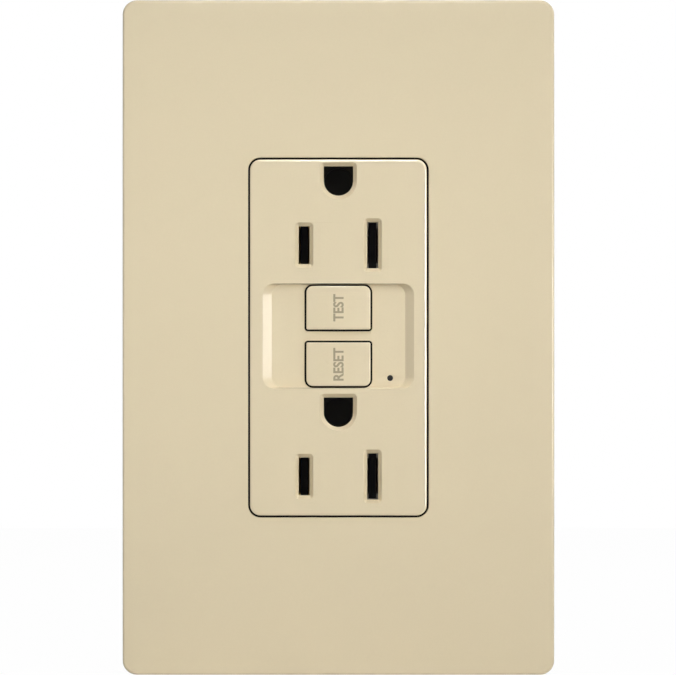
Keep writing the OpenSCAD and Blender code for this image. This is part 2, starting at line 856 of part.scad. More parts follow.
// Four screws from the rear housing into the face
module assembly_screws() {
  pan_t = 1.8;
  tip = face_inner - 0.8;
  seat = body_d - head_recess + eps;
  drive = [1.6, 0.35];
  drive_depth = 1.1;
  color(zinc)
    for (x = [-1, 1], z = [-1, 1])
      translate([x * boss_x, 0, z * boss_z])
        difference() {
          union() {
            rod_y(0, 0, assembly_head_r, seat, seat + pan_t);
            rod_y(0, 0, assembly_r, -tip, seat + eps);
          }
          for (w = [[drive[0], drive[1]], [drive[1], drive[0]]])
            block([-w[0], w[0]], [seat + pan_t - drive_depth, seat + pan_t + 1], [-w[1], w[1]]);
        }
}

// Conductor from the board through the sensing rings to the root of a contact arm
module line_conductor(side, tint) {
  leg_x = [1, 1.8];
  ys = [arm_y + arm_t + 0.05, arm_y + arm_t + 0.65];
  zs = [arm_end, arm_root - 0.05];
  color(tint) {
    block([side * leg_x[0], side * (fixed_contact_x + arm_w / 2)], ys, zs);
    block([side * leg_x[0], side * leg_x[1]], [ys[0], board_front], zs);
  }
}

module line_hot_conductor() { line_conductor(-1, copper); }
module line_neutral_conductor() { line_conductor(1, copper); }

// Spring arm that carries the moving contact
module contact_arm(side) {
  rivet_r = 1.8;
  color(copper) {
    block([side * (fixed_contact_x - arm_w / 2), side * (fixed_contact_x + arm_w / 2)],
          [arm_y, arm_y + arm_t], [arm_end, arm_tip]);
    rod_y(side * fixed_contact_x, fixed_contact_z, rivet_r, contact_meet + 0.05, arm_y + eps);
  }
}

module hot_contact_arm() { contact_arm(-1); }
module neutral_contact_arm() { contact_arm(1); }

// Block that the reset pin lifts by the latch plate, with a rib under each contact arm
module contact_lifter() {
  body_half = [3.4, 3.65];
  body_y = [arm_y + 0.15, plunger_y + 3];
  rib_front = arm_y + arm_t + 0.05;
  rib_t = 2;
  rib_half = [fixed_contact_x + arm_w / 2, 0.65];
  slack = 0.1;
  color(bobbin_white)
    difference() {
      union() {
        block([-body_half[0], body_half[0]], body_y, [reset_z - body_half[1], reset_z + body_half[1]]);
        block([-rib_half[0], rib_half[0]], [rib_front, rib_front + rib_t],
              [reset_z - rib_half[1], reset_z + rib_half[1]]);
      }
      rod_y(0, reset_z, guide_r, body_y[0] - 1, body_y[1] + 1);
      block([-latch_half - slack, latch_half + slack], [latch_y - slack, latch_y + latch_t + slack],
            [reset_z - body_half[1] - 1, reset_z + body_half[1] + 1]);
    }
}

// Latch plate: the lower edge of its window sits in the groove of the reset pin
module latch_plate() {
  window_z = [reset_z - 0.85, reset_z + 2.65];
  color(nickel)
    difference() {
      block([-latch_half, latch_half], [latch_y, latch_y + latch_t], [reset_z - 4.6, latch_top]);
      block([-guide_r, guide_r], [latch_y - 1, latch_y + latch_t + 1], window_z);
    }
}

// Return springs of the two buttons
module button_spring(z) {
  end_gap = 0.05;
  color(nickel) translate([0, -button_back + end_gap, z]) rotate([-90, 0, 0])
    coil_spring(2.55, 0.35, pocket_floor + button_back - 2 * end_gap, 6);
}

module reset_spring() { button_spring(reset_z); }
module test_spring() { button_spring(test_z); }

// Spring blade that the test button's post presses
module test_contact() {
  blade = [contact_meet, contact_meet + 0.4];
  root = -10.5;
  tip = 2;
  leg_t = 0.8;
  half = 1.5;
  zs = [test_z - half, test_z + half];
  color(brass) {
    block([root, tip], blade, zs);
    block([root, root + leg_t], [blade[0], board_front], zs);
  }
}

// Steel yoke around the solenoid
module solenoid_yoke() {
  half = 5.2;
  depth = 4.5;
  color(zinc)
    difference() {
      union() {
        for (z = [coil_bottom, coil_top - yoke_t])
          block([-half, half], [plunger_y - depth, plunger_y + depth + eps], [z, z + yoke_t]);
        block([-half, half], [plunger_y + depth, plunger_y + depth + yoke_t], [coil_bottom, coil_top]);
      }
      translate([0, plunger_y, coil_bottom - 1]) cylinder(r = core_bore, h = coil_top - coil_bottom + 2);
    }
}

// Moulded bobbin with an end flange on each side
module solenoid_bobbin() {
  low = coil_bottom + yoke_t + 0.05;
  high = coil_top - yoke_t - 0.05;
  color(bobbin_white) translate([0, plunger_y, low])
    difference() {
      union() {
        cylinder(r = bobbin_r, h = high - low);
        cylinder(r = bobbin_flange_r, h = bobbin_flange_t);
        translate([0, 0, high - low - bobbin_flange_t]) cylinder(r = bobbin_flange_r, h = bobbin_flange_t);
      }
      translate([0, 0, -1]) cylinder(r = core_bore, h = high - low + 2);
    }
}

// Wound wire on the bobbin, taken as its outer form
module solenoid_winding() {
  inset = yoke_t + bobbin_flange_t + 0.1;
  winding_r = 4.2;
  color(copper) translate([0, plunger_y, coil_bottom + inset])
    difference() {
      cylinder(r = winding_r, h = coil_top - coil_bottom - 2 * inset);
      translate([0, 0, -1]) cylinder(r = bobbin_r + 0.05, h = coil_top - coil_bottom);
    }
}

// Plunger: its lower tip faces the end of the latch plate, its collar carries the return spring
module solenoid_plunger() {
  core_r = core_bore - 0.1;
  core_z = [11.5, 22];
  rod_r = 0.9;
  collar_r = 1.85;
  tip_z = latch_top + 0.05;
  color(zinc) translate([0, plunger_y, 0]) {
    translate([0, 0, core_z[0]]) cylinder(r = core_r, h = core_z[1] - core_z[0]);
    translate([0, 0, tip_z]) cylinder(r = rod_r, h = collar_z + collar_t - tip_z);
    translate([0, 0, collar_z]) cylinder(r = collar_r, h = collar_t);
  }
}

module plunger_spring() {
  end_gap = 0.05;
  color(nickel) translate([0, plunger_y, coil_top + end_gap])
    coil_spring(1.35, 0.25, collar_z - coil_top - 2 * end_gap, 4);
}

// Sensing ring around the line conductors, with rounded edges
module sensing_ring(y, tint) {
  depth = 3;
  edge = 0.5;
  color(tint) translate([0, y + depth, ring_z]) rotate([90, 0, 0])
    rotate_extrude()
      translate([(ring_inner + ring_outer) / 2, depth / 2]) round_rect(ring_outer - ring_inner, depth, edge);
}

module fault_sensing_ring() { sensing_ring(ring_y[0], copper); }
module neutral_sensing_ring() { sensing_ring(ring_y[1], copper); }

// Circuit board across the back of the housing
module circuit_board() {
  color(board_green)
    difference() {
      prism_y(board_front, board_front + board_t) square([board_w, board_h], center = true);
      for (x = [-1, 1], z = [-1, 1])
        rod_y(x * boss_x, z * boss_z, rear_boss_r + 0.4, board_front - 1, board_front + board_t + 1);
    }
}

// Lamp behind the light pipe
module indicator_lamp() {
  color([0.8, 0.15, 0.1]) {
    rod_y(lamp_x, lamp_z, lamp_r, lamp_front + lamp_r, board_front);
    translate([lamp_x, lamp_front + lamp_r, lamp_z]) sphere(lamp_r);
  }
}

// Varistor disc on its two leads
module surge_varistor() {
  disc_r = 4.2;
  disc_x = [8, 11.2];
  disc_y = 19.5;
  disc_z = 21.4;
  lead_r = 0.35;
  color([0.15, 0.28, 0.55]) {
    rod_x(disc_y, disc_z, disc_r, disc_x[0], disc_x[1]);
    for (z = [-2, 2]) rod_y((disc_x[0] + disc_x[1]) / 2, disc_z + z, lead_r, disc_y, board_front);
  }
}

// Round capacitor on the board
module supply_capacitor() {
  can_x = -9.5;
  can_z = 23;
  can_r = 2.6;
  can_h = 8.9;
  color([0.12, 0.14, 0.3]) rod_y(can_x, can_z, can_r, board_front - can_h, board_front);
}

// Box capacitor on the board
module filter_capacitor() {
  case_x = [7.6, 11.6];
  case_z = [-24, -17];
  case_h = 6.9;
  color([0.75, 0.5, 0.12]) block(case_x, [board_front - case_h, board_front], case_z);
}

// Small transistor-like case, flat on one side
module trip_thyristor() {
  case_x = 9.5;
  case_z = 2;
  case_r = 2.3;
  flat_x = 8;
  case_h = 5.4;
  color(case_black)
    intersection() {
      rod_y(case_x, case_z, case_r, board_front - case_h, board_front);
      block([flat_x, case_x + case_r + 1], [0, body_d], [case_z - case_r - 1, case_z + case_r + 1]);
    }
}

// Chip that measures the leakage current and fires the trip
module control_chip() {
  chip_x = [-11, -5];
  chip_z = [-10, -2];
  chip_t = 1.6;
  color(case_black) block(chip_x, [board_front - chip_t, board_front], chip_z);
}

// Resistor in series with the test contact
module test_resistor() {
  resistor_r = 1.1;
  resistor_h = 7;
  resistor_x = 8;
  resistor_z = 8;
  lift = 0.2;
  color([0.75, 0.66, 0.48])
    translate([resistor_x, board_front - resistor_r - lift, resistor_z])
      cylinder(r = resistor_r, h = resistor_h);
}

// Four diodes in a row
module bridge_diodes() {
  diode_r = 0.9;
  diode_x = [-11.5, -7.5];
  first_z = -24;
  step = 2.4;
  lift = 0.2;
  color(case_black)
    for (i = [0 : 3])
      rod_x(board_front - diode_r - lift, first_z + step * i, diode_r, diode_x[0], diode_x[1]);
}

wallplate_cover();
wallplate_frame();
wallplate_screws();
face_cover();
test_button();
reset_button();
indicator_light_pipe();
mounting_strap();
mounting_screws();
ground_contacts();
ground_clamp_plate();
ground_screw();
contact_carrier();
rear_housing();
assembly_screws();
load_hot_bus();
load_neutral_bus();
line_hot_terminal();
line_neutral_terminal();
load_hot_clamp();
load_neutral_clamp();
line_hot_clamp();
line_neutral_clamp();
load_hot_screw();
load_neutral_screw();
line_hot_screw();
line_neutral_screw();
line_hot_conductor();
line_neutral_conductor();
hot_contact_arm();
neutral_contact_arm();
contact_lifter();
latch_plate();
reset_pin();
reset_spring();
test_spring();
test_contact();
solenoid_yoke();
solenoid_bobbin();
solenoid_winding();
solenoid_plunger();
plunger_spring();
fault_sensing_ring();
neutral_sensing_ring();
circuit_board();
indicator_lamp();
surge_varistor();
supply_capacitor();
filter_capacitor();
trip_thyristor();
control_chip();
test_resistor();
bridge_diodes();
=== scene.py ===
"""Finished look of a ground-fault receptacle in a clip-on wall plate.

Lengths are in metres in the packed part's own frame: X to the right, Y back into the wall, Z up.
"""

import functools
import json
import math

import bmesh
import bpy
from bpy.props import FloatProperty, FloatVectorProperty, IntProperty, PointerProperty, StringProperty
from bpy.types import Operator, Panel, PropertyGroup
from mathutils import Matrix, Vector
from mathutils.geometry import tessellate_polygon

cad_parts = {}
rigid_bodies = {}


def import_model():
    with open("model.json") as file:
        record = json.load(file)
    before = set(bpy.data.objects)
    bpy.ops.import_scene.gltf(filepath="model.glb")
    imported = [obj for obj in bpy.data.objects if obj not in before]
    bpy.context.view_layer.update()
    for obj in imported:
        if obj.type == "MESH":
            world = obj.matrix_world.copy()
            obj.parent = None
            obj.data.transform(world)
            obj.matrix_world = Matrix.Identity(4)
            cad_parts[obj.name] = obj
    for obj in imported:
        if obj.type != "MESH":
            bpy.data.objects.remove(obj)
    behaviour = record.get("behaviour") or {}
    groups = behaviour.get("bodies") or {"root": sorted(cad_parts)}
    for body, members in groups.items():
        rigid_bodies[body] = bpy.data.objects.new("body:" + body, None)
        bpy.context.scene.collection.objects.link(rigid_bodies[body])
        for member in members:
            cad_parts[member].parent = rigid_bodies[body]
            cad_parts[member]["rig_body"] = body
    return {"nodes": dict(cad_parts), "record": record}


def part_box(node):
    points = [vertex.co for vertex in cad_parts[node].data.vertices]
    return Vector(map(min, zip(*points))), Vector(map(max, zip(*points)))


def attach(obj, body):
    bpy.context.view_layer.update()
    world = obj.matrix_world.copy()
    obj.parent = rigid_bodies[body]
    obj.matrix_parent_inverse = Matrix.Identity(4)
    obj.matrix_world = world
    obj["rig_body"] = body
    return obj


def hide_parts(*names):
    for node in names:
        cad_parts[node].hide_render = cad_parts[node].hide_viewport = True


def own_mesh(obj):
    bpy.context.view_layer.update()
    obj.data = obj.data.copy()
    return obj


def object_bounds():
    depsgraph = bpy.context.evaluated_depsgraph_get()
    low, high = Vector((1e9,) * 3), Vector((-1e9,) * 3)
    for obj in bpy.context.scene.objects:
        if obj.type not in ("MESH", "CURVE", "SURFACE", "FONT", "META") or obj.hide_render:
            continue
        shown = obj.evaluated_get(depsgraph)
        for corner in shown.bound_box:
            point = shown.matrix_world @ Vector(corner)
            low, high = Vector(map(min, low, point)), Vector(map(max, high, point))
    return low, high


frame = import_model()
CAD_BOX = [list(corner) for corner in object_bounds()]
NODES = frame["nodes"]
SLOT_OF = {part["node"]: part["material_slot"] for part in frame["record"]["subparts"]}

bl_info = {
    "name": "Ground-fault receptacle",
    "version": (1, 0, 0),
    "blender": (4, 5, 0),
    "location": "3D View > Sidebar > Receptacle",
    "description": "Builds the finished pieces of a ground-fault receptacle around its packed solids",
    "category": "Object",
}

MM = 0.001
LAP = 0.05 * MM
FINE_EDGE = 0.1 * MM
SAME_POINT = 1e-7
SMOOTH_ANGLE = math.radians(38)
ALONG_Y = Matrix(((1, 0, 0, 0), (0, 0, 1, 0), (0, -1, 0, 0), (0, 0, 0, 1)))
SIDES = (1, -1)


# Settings

def length(name, description, millimetres):
    """Length property with its default in millimetres."""
    return FloatProperty(name=name, description=description, default=millimetres * MM,
                         precision=5, unit="LENGTH", subtype="DISTANCE")


def amount(name, description, default):
    """Plain number property."""
    return FloatProperty(name=name, description=description, default=default, precision=3)


def power(name, description, watts):
    """Power property in watts."""
    return FloatProperty(name=name, description=description, default=watts, precision=3,
                         unit="POWER", subtype="POWER")


def share(name, description, default):
    """Number from 0 to 1."""
    return FloatProperty(name=name, description=description, default=default,
                         min=0.0, max=1.0, subtype="FACTOR")


def to_linear(value):
    """Linear light of a display value from 0 to 255."""
    level = value / 255
    return level / 12.92 if level <= 0.04045 else ((level + 0.055) / 1.055) ** 2.4


def tint(name, description, red, green, blue):
    """Colour property with its default as display values from 0 to 255."""
    default = (to_linear(red), to_linear(green), to_linear(blue))
    return FloatVectorProperty(name=name, description=description, default=default,
                               min=0.0, max=1.0, subtype="COLOR")


class CoverSettings(PropertyGroup):
    """Sizes of the clip-on cover"""
    corner: length("Corner", "Radius of the cover's corners", 2.6)
    edge: length("Edge", "Rounding of the outer front edge", 0.5)
    lip: length("Lip", "Rounding of the edge round the opening", 0.15)
    foot: length("Foot", "Rounding of the back edges", 0.15)
    crown: length("Crown", "How far the ends lie behind the middle", 1.0)
    wall: length("Wall", "Thickness of the moulding", 1.8)
    opening_width: length("Opening width", "Width of the opening for the device", 33.46)
    opening_height: length("Opening height", "Height of the opening for the device", 66.66)
    opening_corner: length("Opening corner", "Radius of the opening's corners", 2.26)
    collar_wall: length("Collar wall", "Thickness of the collar round the opening", 1.3)
    collar_back: length("Collar back", "How far the collar ends in front of the wall", 3.2)
    pad_length: length("Pad length", "Length of the grip pads", 9.0)
    pad_front: length("Pad front", "Front of the grip pads", -2.85)
    pad_back: length("Pad back", "Back of the grip pads", -0.4)


class FaceSettings(PropertyGroup):
    """Sizes of the device face"""
    trim: length("Trim", "How much the outline is taken in for a darker gap", 0.045)
    corner: length("Corner", "Radius of the face's corners", 1.95)
    edge: length("Edge", "Width of the sloping front edge", 0.36)
    side: length("Side wall", "Thickness of the side walls", 1.5)
    top: length("Front wall", "Thickness of the front wall", 2.0)
    slot_x: length("Slot distance", "Distance of the blade slots from the middle", 6.35)
    slot_width: length("Slot width", "Width of the blade slots", 2.0)
    slot_corner: length("Slot corner", "Radius of the corners of slots and ground holes", 0.08)
    hot_height: length("Hot slot height", "Height of the left slots", 7.0)
    neutral_height: length("Neutral slot height", "Height of the right slots", 8.55)
    upper_slots: length("Upper slots", "Height of the upper pair of slots", 17.1)
    lower_slots: length("Lower slots", "Height of the lower pair of slots", -25.75)
    ground_rise: length("Ground rise", "How far the ground holes lie above their slots", 11.9)
    ground_radius: length("Ground radius", "Radius of the ground holes", 2.71)
    ground_top: length("Ground top", "Height of the flat top of the ground holes", 2.72)
    margin: length("Margin", "Width of the sunk margins", 0.7)
    margin_depth: length("Margin depth", "Depth of the sunk margins", 0.85)
    margin_edge: length("Margin edge", "Rounding of the margins' front edge", 0.04)
    shroud: length("Shroud", "Wall of the tubes behind the slots", 0.8)
    panel_z: length("Panel height", "Height of the middle of the sunk panel", 0.28)
    panel_width: length("Panel width", "Width of the sunk panel at the front", 28.0)
    panel_height: length("Panel height span", "Height of the sunk panel at the front", 19.4)
    floor_width: length("Floor width", "Width of the panel's floor", 24.7)
    floor_height: length("Floor height", "Height of the panel's floor", 19.2)
    panel_corner: length("Panel corner", "Radius of the panel's corners", 2.1)
    panel_depth: length("Panel depth", "Depth of the sunk panel", 1.25)
    lamp_x: length("Lamp x", "Place of the indicator hole across", 9.58)
    lamp_z: length("Lamp z", "Place of the indicator hole up", -7.51)
    lamp_radius: length("Lamp radius", "Radius of the indicator hole", 0.55)
    # Painted shade: a dark ring behind the gap round the face, standing in for the gap's shade
    seal: length("Seal", "How far the dark seal behind the gap stands out", 0.6)
    seal_front: length("Seal front", "How far the front of the seal lies before the face's foot", 0.4)
    seal_back: length("Seal back", "How far the back of the seal lies before the face's foot", 0.1)
    boss_radius: length("Boss radius", "Radius of the screw bosses", 2.5)
    boss_bore: length("Boss bore", "Radius of the bores in the bosses", 1.5)
    boss_sunk: length("Boss sunk", "How far the bosses are let into the front wall", 0.3)


class ButtonSettings(PropertyGroup):
    """Sizes of the two buttons"""
    width: length("Width", "Width of a button", 11.88)
    height: length("Height", "Height of a button", 8.07)
    corner: length("Outer corner", "Radius of the corners away from the bridge", 1.2)
    bridge_corner: length("Bridge corner", "Radius of the corners next to the bridge", 0.3)
    edge: length("Edge", "Width of the sloping front edge", 0.22)
    crown: length("Crown", "How far the sides lie behind the middle", 0.3)
    recess: length("Recess", "How far the printed front lies behind the device face", 0.025)
    gap: length("Gap", "Gap round a button", 0.34)
    hole_edge: length("Hole edge", "Rounding of the panel's edge round a button", 0.06)
    cap_back: length("Cap back", "Back of the cap", -3.5)
    skirt: length("Skirt", "How far the skirt behind the panel stands out", 0.86)
    skirt_front: length("Skirt front", "Front of the skirt", -3.95)
    skirt_back: length("Skirt back", "Back of the skirt", -3.55)
    stop: length("Stop", "Height of the stops on the skirt", 2.4)
    stop_front: length("Stop front", "Front of the stops", -5.2)
    stop_back: length("Stop back", "Back of the stops", -3.6)
    stop_gap: length("Stop gap", "Distance of the stops from the gap round a button", 0.1)
    stop_edge: length("Stop edge", "Rounding of the stops", 0.08)
    # Painted shade: a dark ring on the skirt behind the gap round a button
    seal: length("Seal", "How far the dark seal on the skirt stands out", 0.42)
    seal_height: length("Seal height", "Thickness of the dark seal on the skirt", 0.2)
    stem: length("Stem", "Radius of the stem", 2.0)
    stem_front: length("Stem front", "Front end of the stem", -4.0)
    stem_end: length("Stem end", "Back end of the stem", 4.5)
    stem_edge: length("Stem edge", "Rounding of stem and post", 0.2)
    post: length("Post", "Radius of the test button's post", 1.2)
    post_front: length("Post front", "Front end of the test button's post", 4.0)
    test_word: StringProperty(name="Test word", description="Word on the upper button", default="TEST")
    reset_word: StringProperty(name="Reset word", description="Word on the lower button", default="RESET")
    letter_height: length("Letter height", "Height of the printed letters", 1.95)
    letter_spread: share("Letter spread", "Width of the letters as a share of the plain width", 0.9)
    letter_weight: amount("Letter weight", "How much the letters are thickened", 0.03)
    letter_rise: length("Letter rise", "Thickness of the print", 0.03)
    letter_sunk: length("Letter sunk", "How far the print is let into the button", 0.01)


class MetalSettings(PropertyGroup):
    """Sizes of screws, springs and windings"""
    soft_edge: length("Soft edge", "Rounding of moulded and stamped edges", 0.12)
    pitch: length("Thread pitch", "Distance between the turns of a thread", 0.794)
    thread_depth: length("Thread depth", "How deep the threads are cut", 0.36)
    thread_share: share("Thread share", "Largest depth of a thread as a share of its radius", 0.25)
    collar: length("Collar", "Plain shank under a screw's head", 0.2)
    terminal_under: length("Terminal under", "Distance of the terminal screws' heads from the middle", 19.15)
    ground_under: length("Ground under", "Distance of the ground screw's head from the middle", 12.45)
    terminal_crest: length("Terminal crest", "Thread radius of the terminal screws", 1.7)
    button_coil: length("Button spring", "Mean radius of the button springs", 2.55)
    button_wire: length("Button spring wire", "Radius of the button springs' wire", 0.35)
    button_turns: amount("Button spring turns", "Turns of the button springs", 6.0)
    reset_stroke: length("Reset stroke", "Travel of the reset button", 2.0)
    test_stroke: length("Test stroke", "Travel of the test button", 1.6)
    plunger_coil: length("Plunger spring", "Mean radius of the plunger spring", 1.35)
    plunger_wire: length("Plunger spring wire", "Radius of the plunger spring's wire", 0.25)
    plunger_turns: amount("Plunger spring turns", "Turns of the plunger spring", 4.0)
    plunger_stroke: length("Plunger stroke", "Travel of the plunger", 1.2)
    winding_wire: length("Winding wire", "Radius of the winding wire", 0.13)
    winding_bore: length("Winding bore", "Inner radius of the solenoid winding", 2.75)
    ring_bore: length("Ring bore", "Inner radius of the sensing rings", 3.0)
    ring_edge: length("Ring edge", "Rounding of the sensing rings' cores and loops", 0.5)
    ring_loops: IntProperty(name="Ring loops", description="Loops of wire on a sensing ring",
                            default=56, min=8)


class FinishSettings(PropertyGroup):
    """Main colours"""
    ivory: tint("Ivory", "Colour of cover, face and buttons", 224, 209, 176)
    print: tint("Print", "Colour of the words on the buttons", 158, 146, 118)
    frame: tint("Frame", "Colour of the frame under the cover", 206, 203, 194)
    carrier: tint("Carrier", "Colour of the middle moulding", 56, 55, 52)
    housing: tint("Housing", "Colour of the rear housing", 34, 34, 35)
    natural: tint("Natural", "Colour of the small uncoloured mouldings", 214, 208, 190)
    zinc: tint("Zinc", "Colour of zinc plated steel", 196, 198, 200)
    brass: tint("Brass", "Colour of brass", 214, 178, 108)
    copper: tint("Copper", "Colour of copper", 206, 132, 96)
    green: tint("Green", "Colour of the ground screw", 46, 118, 62)


class StageSettings(PropertyGroup):
    """Camera and light"""
    lens: FloatProperty(name="Lens", description="Focal length of the camera in millimetres",
                        default=600.0, unit="CAMERA", subtype="DISTANCE_CAMERA")
    view_width: length("View width", "Width of the picture at the cover's outline", 125.28)
    view_plane: length("View plane", "Place of the cover's outline", -6.4)
    view_x: length("View x", "Sideways place of the camera", -0.08)
    view_z: length("View z", "Height of the camera", 0.0)
    ambient: share("Ambient", "Light from all round", 0.03)
    key: power("Key", "Power of the lamp above the camera", 0.11)
    right: power("Right", "Power of the lamp at the right", 0.055)
    left: power("Left", "Power of the lamp at the left", 0.005)
    brow: power("Brow", "Power of the lamp high above the camera", 0.044)
    side: power("Side", "Power of the lamp far to the right", 0.27)
    top: power("Top", "Power of the lamp overhead", 1.4)
    back: power("Back", "Power of the lamp behind", 3.0)
    aim_x: length("Aim x", "Sideways place at which the lamps are aimed", -18.0)
    aim_z: length("Aim z", "Height at which the lamps are aimed", 15.0)
    floor_reach: length("Floor reach", "Distance from the middle to the floor's edges", 1600.0)
    floor_white: share("Floor white", "How far the floor shows as plain white", 0.985)


SETTINGS = {
    "outlet_cover": CoverSettings,
    "outlet_face": FaceSettings,
    "outlet_buttons": ButtonSettings,
    "outlet_metal": MetalSettings,
    "outlet_finish": FinishSettings,
    "outlet_stage": StageSettings,
}


# Node trees

class Tree:
    """Adds nodes to a tree and joins them."""

    def __init__(self, tree):
        self.tree = tree

    def add(self, kind, inputs=None, **options):
        """New node, with its options and its inputs set or linked."""
        node = self.tree.nodes.new(kind)
        for option, value in options.items():
            setattr(node, option, value)
        for key, value in (inputs or {}).items():
            self.feed(node.inputs[key], value)
        return node

    def feed(self, socket, value):
        """Links an output to an input, or sets a plain value."""
        if isinstance(value, bpy.types.NodeSocket):
            self.tree.links.new(value, socket)
        else:
            socket.default_value = value

    def shape(self, kind, inputs, **options):
        """First output of a new node."""
        return self.add(kind, inputs, **options).outputs[0]

    def maths(self, operation, first, second):
        """Result of a Math node."""
        return self.shape("ShaderNodeMath", {0: first, 1: second}, operation=operation)

    def span(self, value, low, high):
        """Value from 0 to 1 laid on a new range."""
        return self.shape("ShaderNodeMapRange", {"Value": value, "To Min": low, "To Max": high})

    def noise(self, vector, scale, detail):
        """Noise value over the surface."""
        return self.shape("ShaderNodeTexNoise", {"Vector": vector, "Scale": scale, "Detail": detail})

    def tone(self, value, low, high, colour):
        """Colour made darker or lighter by a value from 0 to 1."""
        return self.shape("ShaderNodeHueSaturation", {"Value": self.span(value, low, high), "Color": colour})

    def blend(self, factor, first, second):
        """Colour between two others."""
        node = self.add("ShaderNodeMix", data_type="RGBA")
        for socket, value in ((0, factor), (6, first), (7, second)):
            self.feed(node.inputs[socket], value)
        return node.outputs[2]


SOCKET_OF = {
    float: "NodeSocketFloat",
    int: "NodeSocketInt",
    tuple: "NodeSocketVector",
    type(None): "NodeSocketMaterial",
}


def shared_group(name, kind, inputs, outputs):
    """Makes a function that fills a tree give the group instead, built when it is first asked for."""
    output = "NodeSocketFloat" if kind == "ShaderNodeTree" else "NodeSocketGeometry"

    def wrap(fill):
        @functools.wraps(fill)
        def give():
            group = bpy.data.node_groups.get(name)
            if group:
                return group
            group = bpy.data.node_groups.new(name, kind)
            for label, default in inputs.items():
                kind_of_socket = SOCKET_OF[type(default)]
                socket = group.interface.new_socket(label, in_out="INPUT", socket_type=kind_of_socket)
                if default is not None:
                    socket.default_value = default
            for label in outputs:
                group.interface.new_socket(label, in_out="OUTPUT", socket_type=output)
            tree = Tree(group)
            fill(tree, tree.add("NodeGroupInput").outputs, tree.add("NodeGroupOutput").inputs)
            return group
        return give
    return wrap


@shared_group("Moulded grain", "ShaderNodeTree", {"Place": (0.0, 0.0, 0.0), "Grain size": 0.0003},
              ("Height", "Clouds", "Gloss"))
def moulded_grain(tree, source, target):
    """Shader group for moulded plastic: fine grain, faint clouds of colour and uneven gloss."""
    place = source["Place"]
    fine = tree.maths("DIVIDE", 1.0, source["Grain size"])
    middle = tree.maths("DIVIDE", fine, 9.0)
    broad = tree.maths("DIVIDE", fine, 45.0)
    clouds = tree.maths("ADD", tree.noise(place, broad, 4.0), tree.noise(place, fine, 1.0))
    tree.feed(target["Height"], tree.noise(place, fine, 3.0))
    tree.feed(target["Clouds"], tree.maths("MULTIPLY", clouds, 0.5))
    tree.feed(target["Gloss"], tree.noise(place, middle, 3.0))


@shared_group("Metal finish", "ShaderNodeTree",
              {"Place": (0.0, 0.0, 0.0), "Grain size": 0.0004, "Stretch": (1.0, 1.0, 0.06)},
              ("Streaks", "Blotches", "Height"))
def metal_finish(tree, source, target):
    """Shader group for metal: drawn streaks, blotches in the plating and small dents."""
    place = source["Place"]
    fine = tree.maths("DIVIDE", 1.0, source["Grain size"])
    broad = tree.maths("DIVIDE", fine, 7.0)
    drawn = tree.shape("ShaderNodeVectorMath", {0: place, 1: source["Stretch"]}, operation="MULTIPLY")
    streaks = tree.noise(drawn, tree.maths("MULTIPLY", fine, 2.0), 4.0)
    tree.feed(target["Streaks"], streaks)
    tree.feed(target["Blotches"], tree.noise(place, broad, 5.0))
    tree.feed(target["Height"],
              tree.maths("ADD", tree.maths("MULTIPLY", streaks, 0.6), tree.noise(place, fine, 3.0)))


# Finishes

def new_surface(name):
    """New material with its tree, shader and Object coordinates."""
    material = bpy.data.materials.new(name)
    material.use_nodes = True
    tree = Tree(material.node_tree)
    shader = material.node_tree.nodes["Principled BSDF"]
    place = tree.add("ShaderNodeTexCoord").outputs["Object"]
    return material, tree, shader, place


def grained(tree, group, place, grain):
    """Outputs of a shader group placed in a material with its own grain size in millimetres."""
    node = tree.add("ShaderNodeGroup", node_tree=group)
    tree.feed(node.inputs["Place"], place)
    tree.feed(node.inputs["Grain size"], grain * MM)
    return node.outputs


def dress(tree, shader, colour, rough, height, depth):
    """Joins colour, roughness and a bump with its depth in millimetres to a shader."""
    bump = tree.add("ShaderNodeBump", {"Distance": depth * MM, "Height": height})
    tree.feed(shader.inputs["Base Color"], colour)
    tree.feed(shader.inputs["Roughness"], rough)
    tree.feed(shader.inputs["Normal"], bump.outputs["Normal"])


def paint(colour):
    """Colour with alpha, from plain values or from the name of a colour setting."""
    if isinstance(colour, str):
        colour = getattr(bpy.context.scene.outlet_finish, colour)
    return (*colour, 1)


def moulding(name, colour, rough, grain, depth, clouds, plain):
    """Moulded plastic; plain holds shader values that are the same all over."""
    material, tree, shader, place = new_surface(name)
    group = grained(tree, moulded_grain(), place, grain)
    toned = tree.tone(group["Clouds"], 1 - clouds, 1 + clouds, paint(colour))
    dress(tree, shader, toned, tree.span(group["Gloss"], rough - 0.06, rough + 0.06), group["Height"], depth)
    for label, value in plain.items():
        shader.inputs[label].default_value = value
    return material


def metal(name, colour, stain, rough, grain):
    """Drawn, stamped or plated metal."""
    material, tree, shader, place = new_surface(name)
    group = grained(tree, metal_finish(), place, grain)
    stained = tree.span(group["Blotches"], -0.5, 1.3)
    toned = tree.blend(stained, paint(colour), paint(stain))
    gloss = tree.span(group["Streaks"], rough - 0.12, rough + 0.16)
    dress(tree, shader, toned, gloss, group["Height"], 0.005)
    shader.inputs["Metallic"].default_value = 1.0
    return material


def track_board(name):
    """Circuit board with green mask over copper tracks."""
    material, tree, shader, place = new_surface(name)
    group = grained(tree, moulded_grain(), place, 0.25)
    tracks = tree.add("ShaderNodeTexBrick", {
        "Vector": place, "Scale": 260.0, "Mortar Size": 0.012, "Bias": 0.0,
        "Color1": (0.012, 0.085, 0.03, 1), "Color2": (0.014, 0.1, 0.036, 1), "Mortar": (0.05, 0.2, 0.07, 1)})
    toned = tree.tone(group["Clouds"], 0.85, 1.15, tracks.outputs["Color"])
    dress(tree, shader, toned, tree.span(group["Gloss"], 0.22, 0.38), tracks.outputs["Fac"], 0.03)
    return material


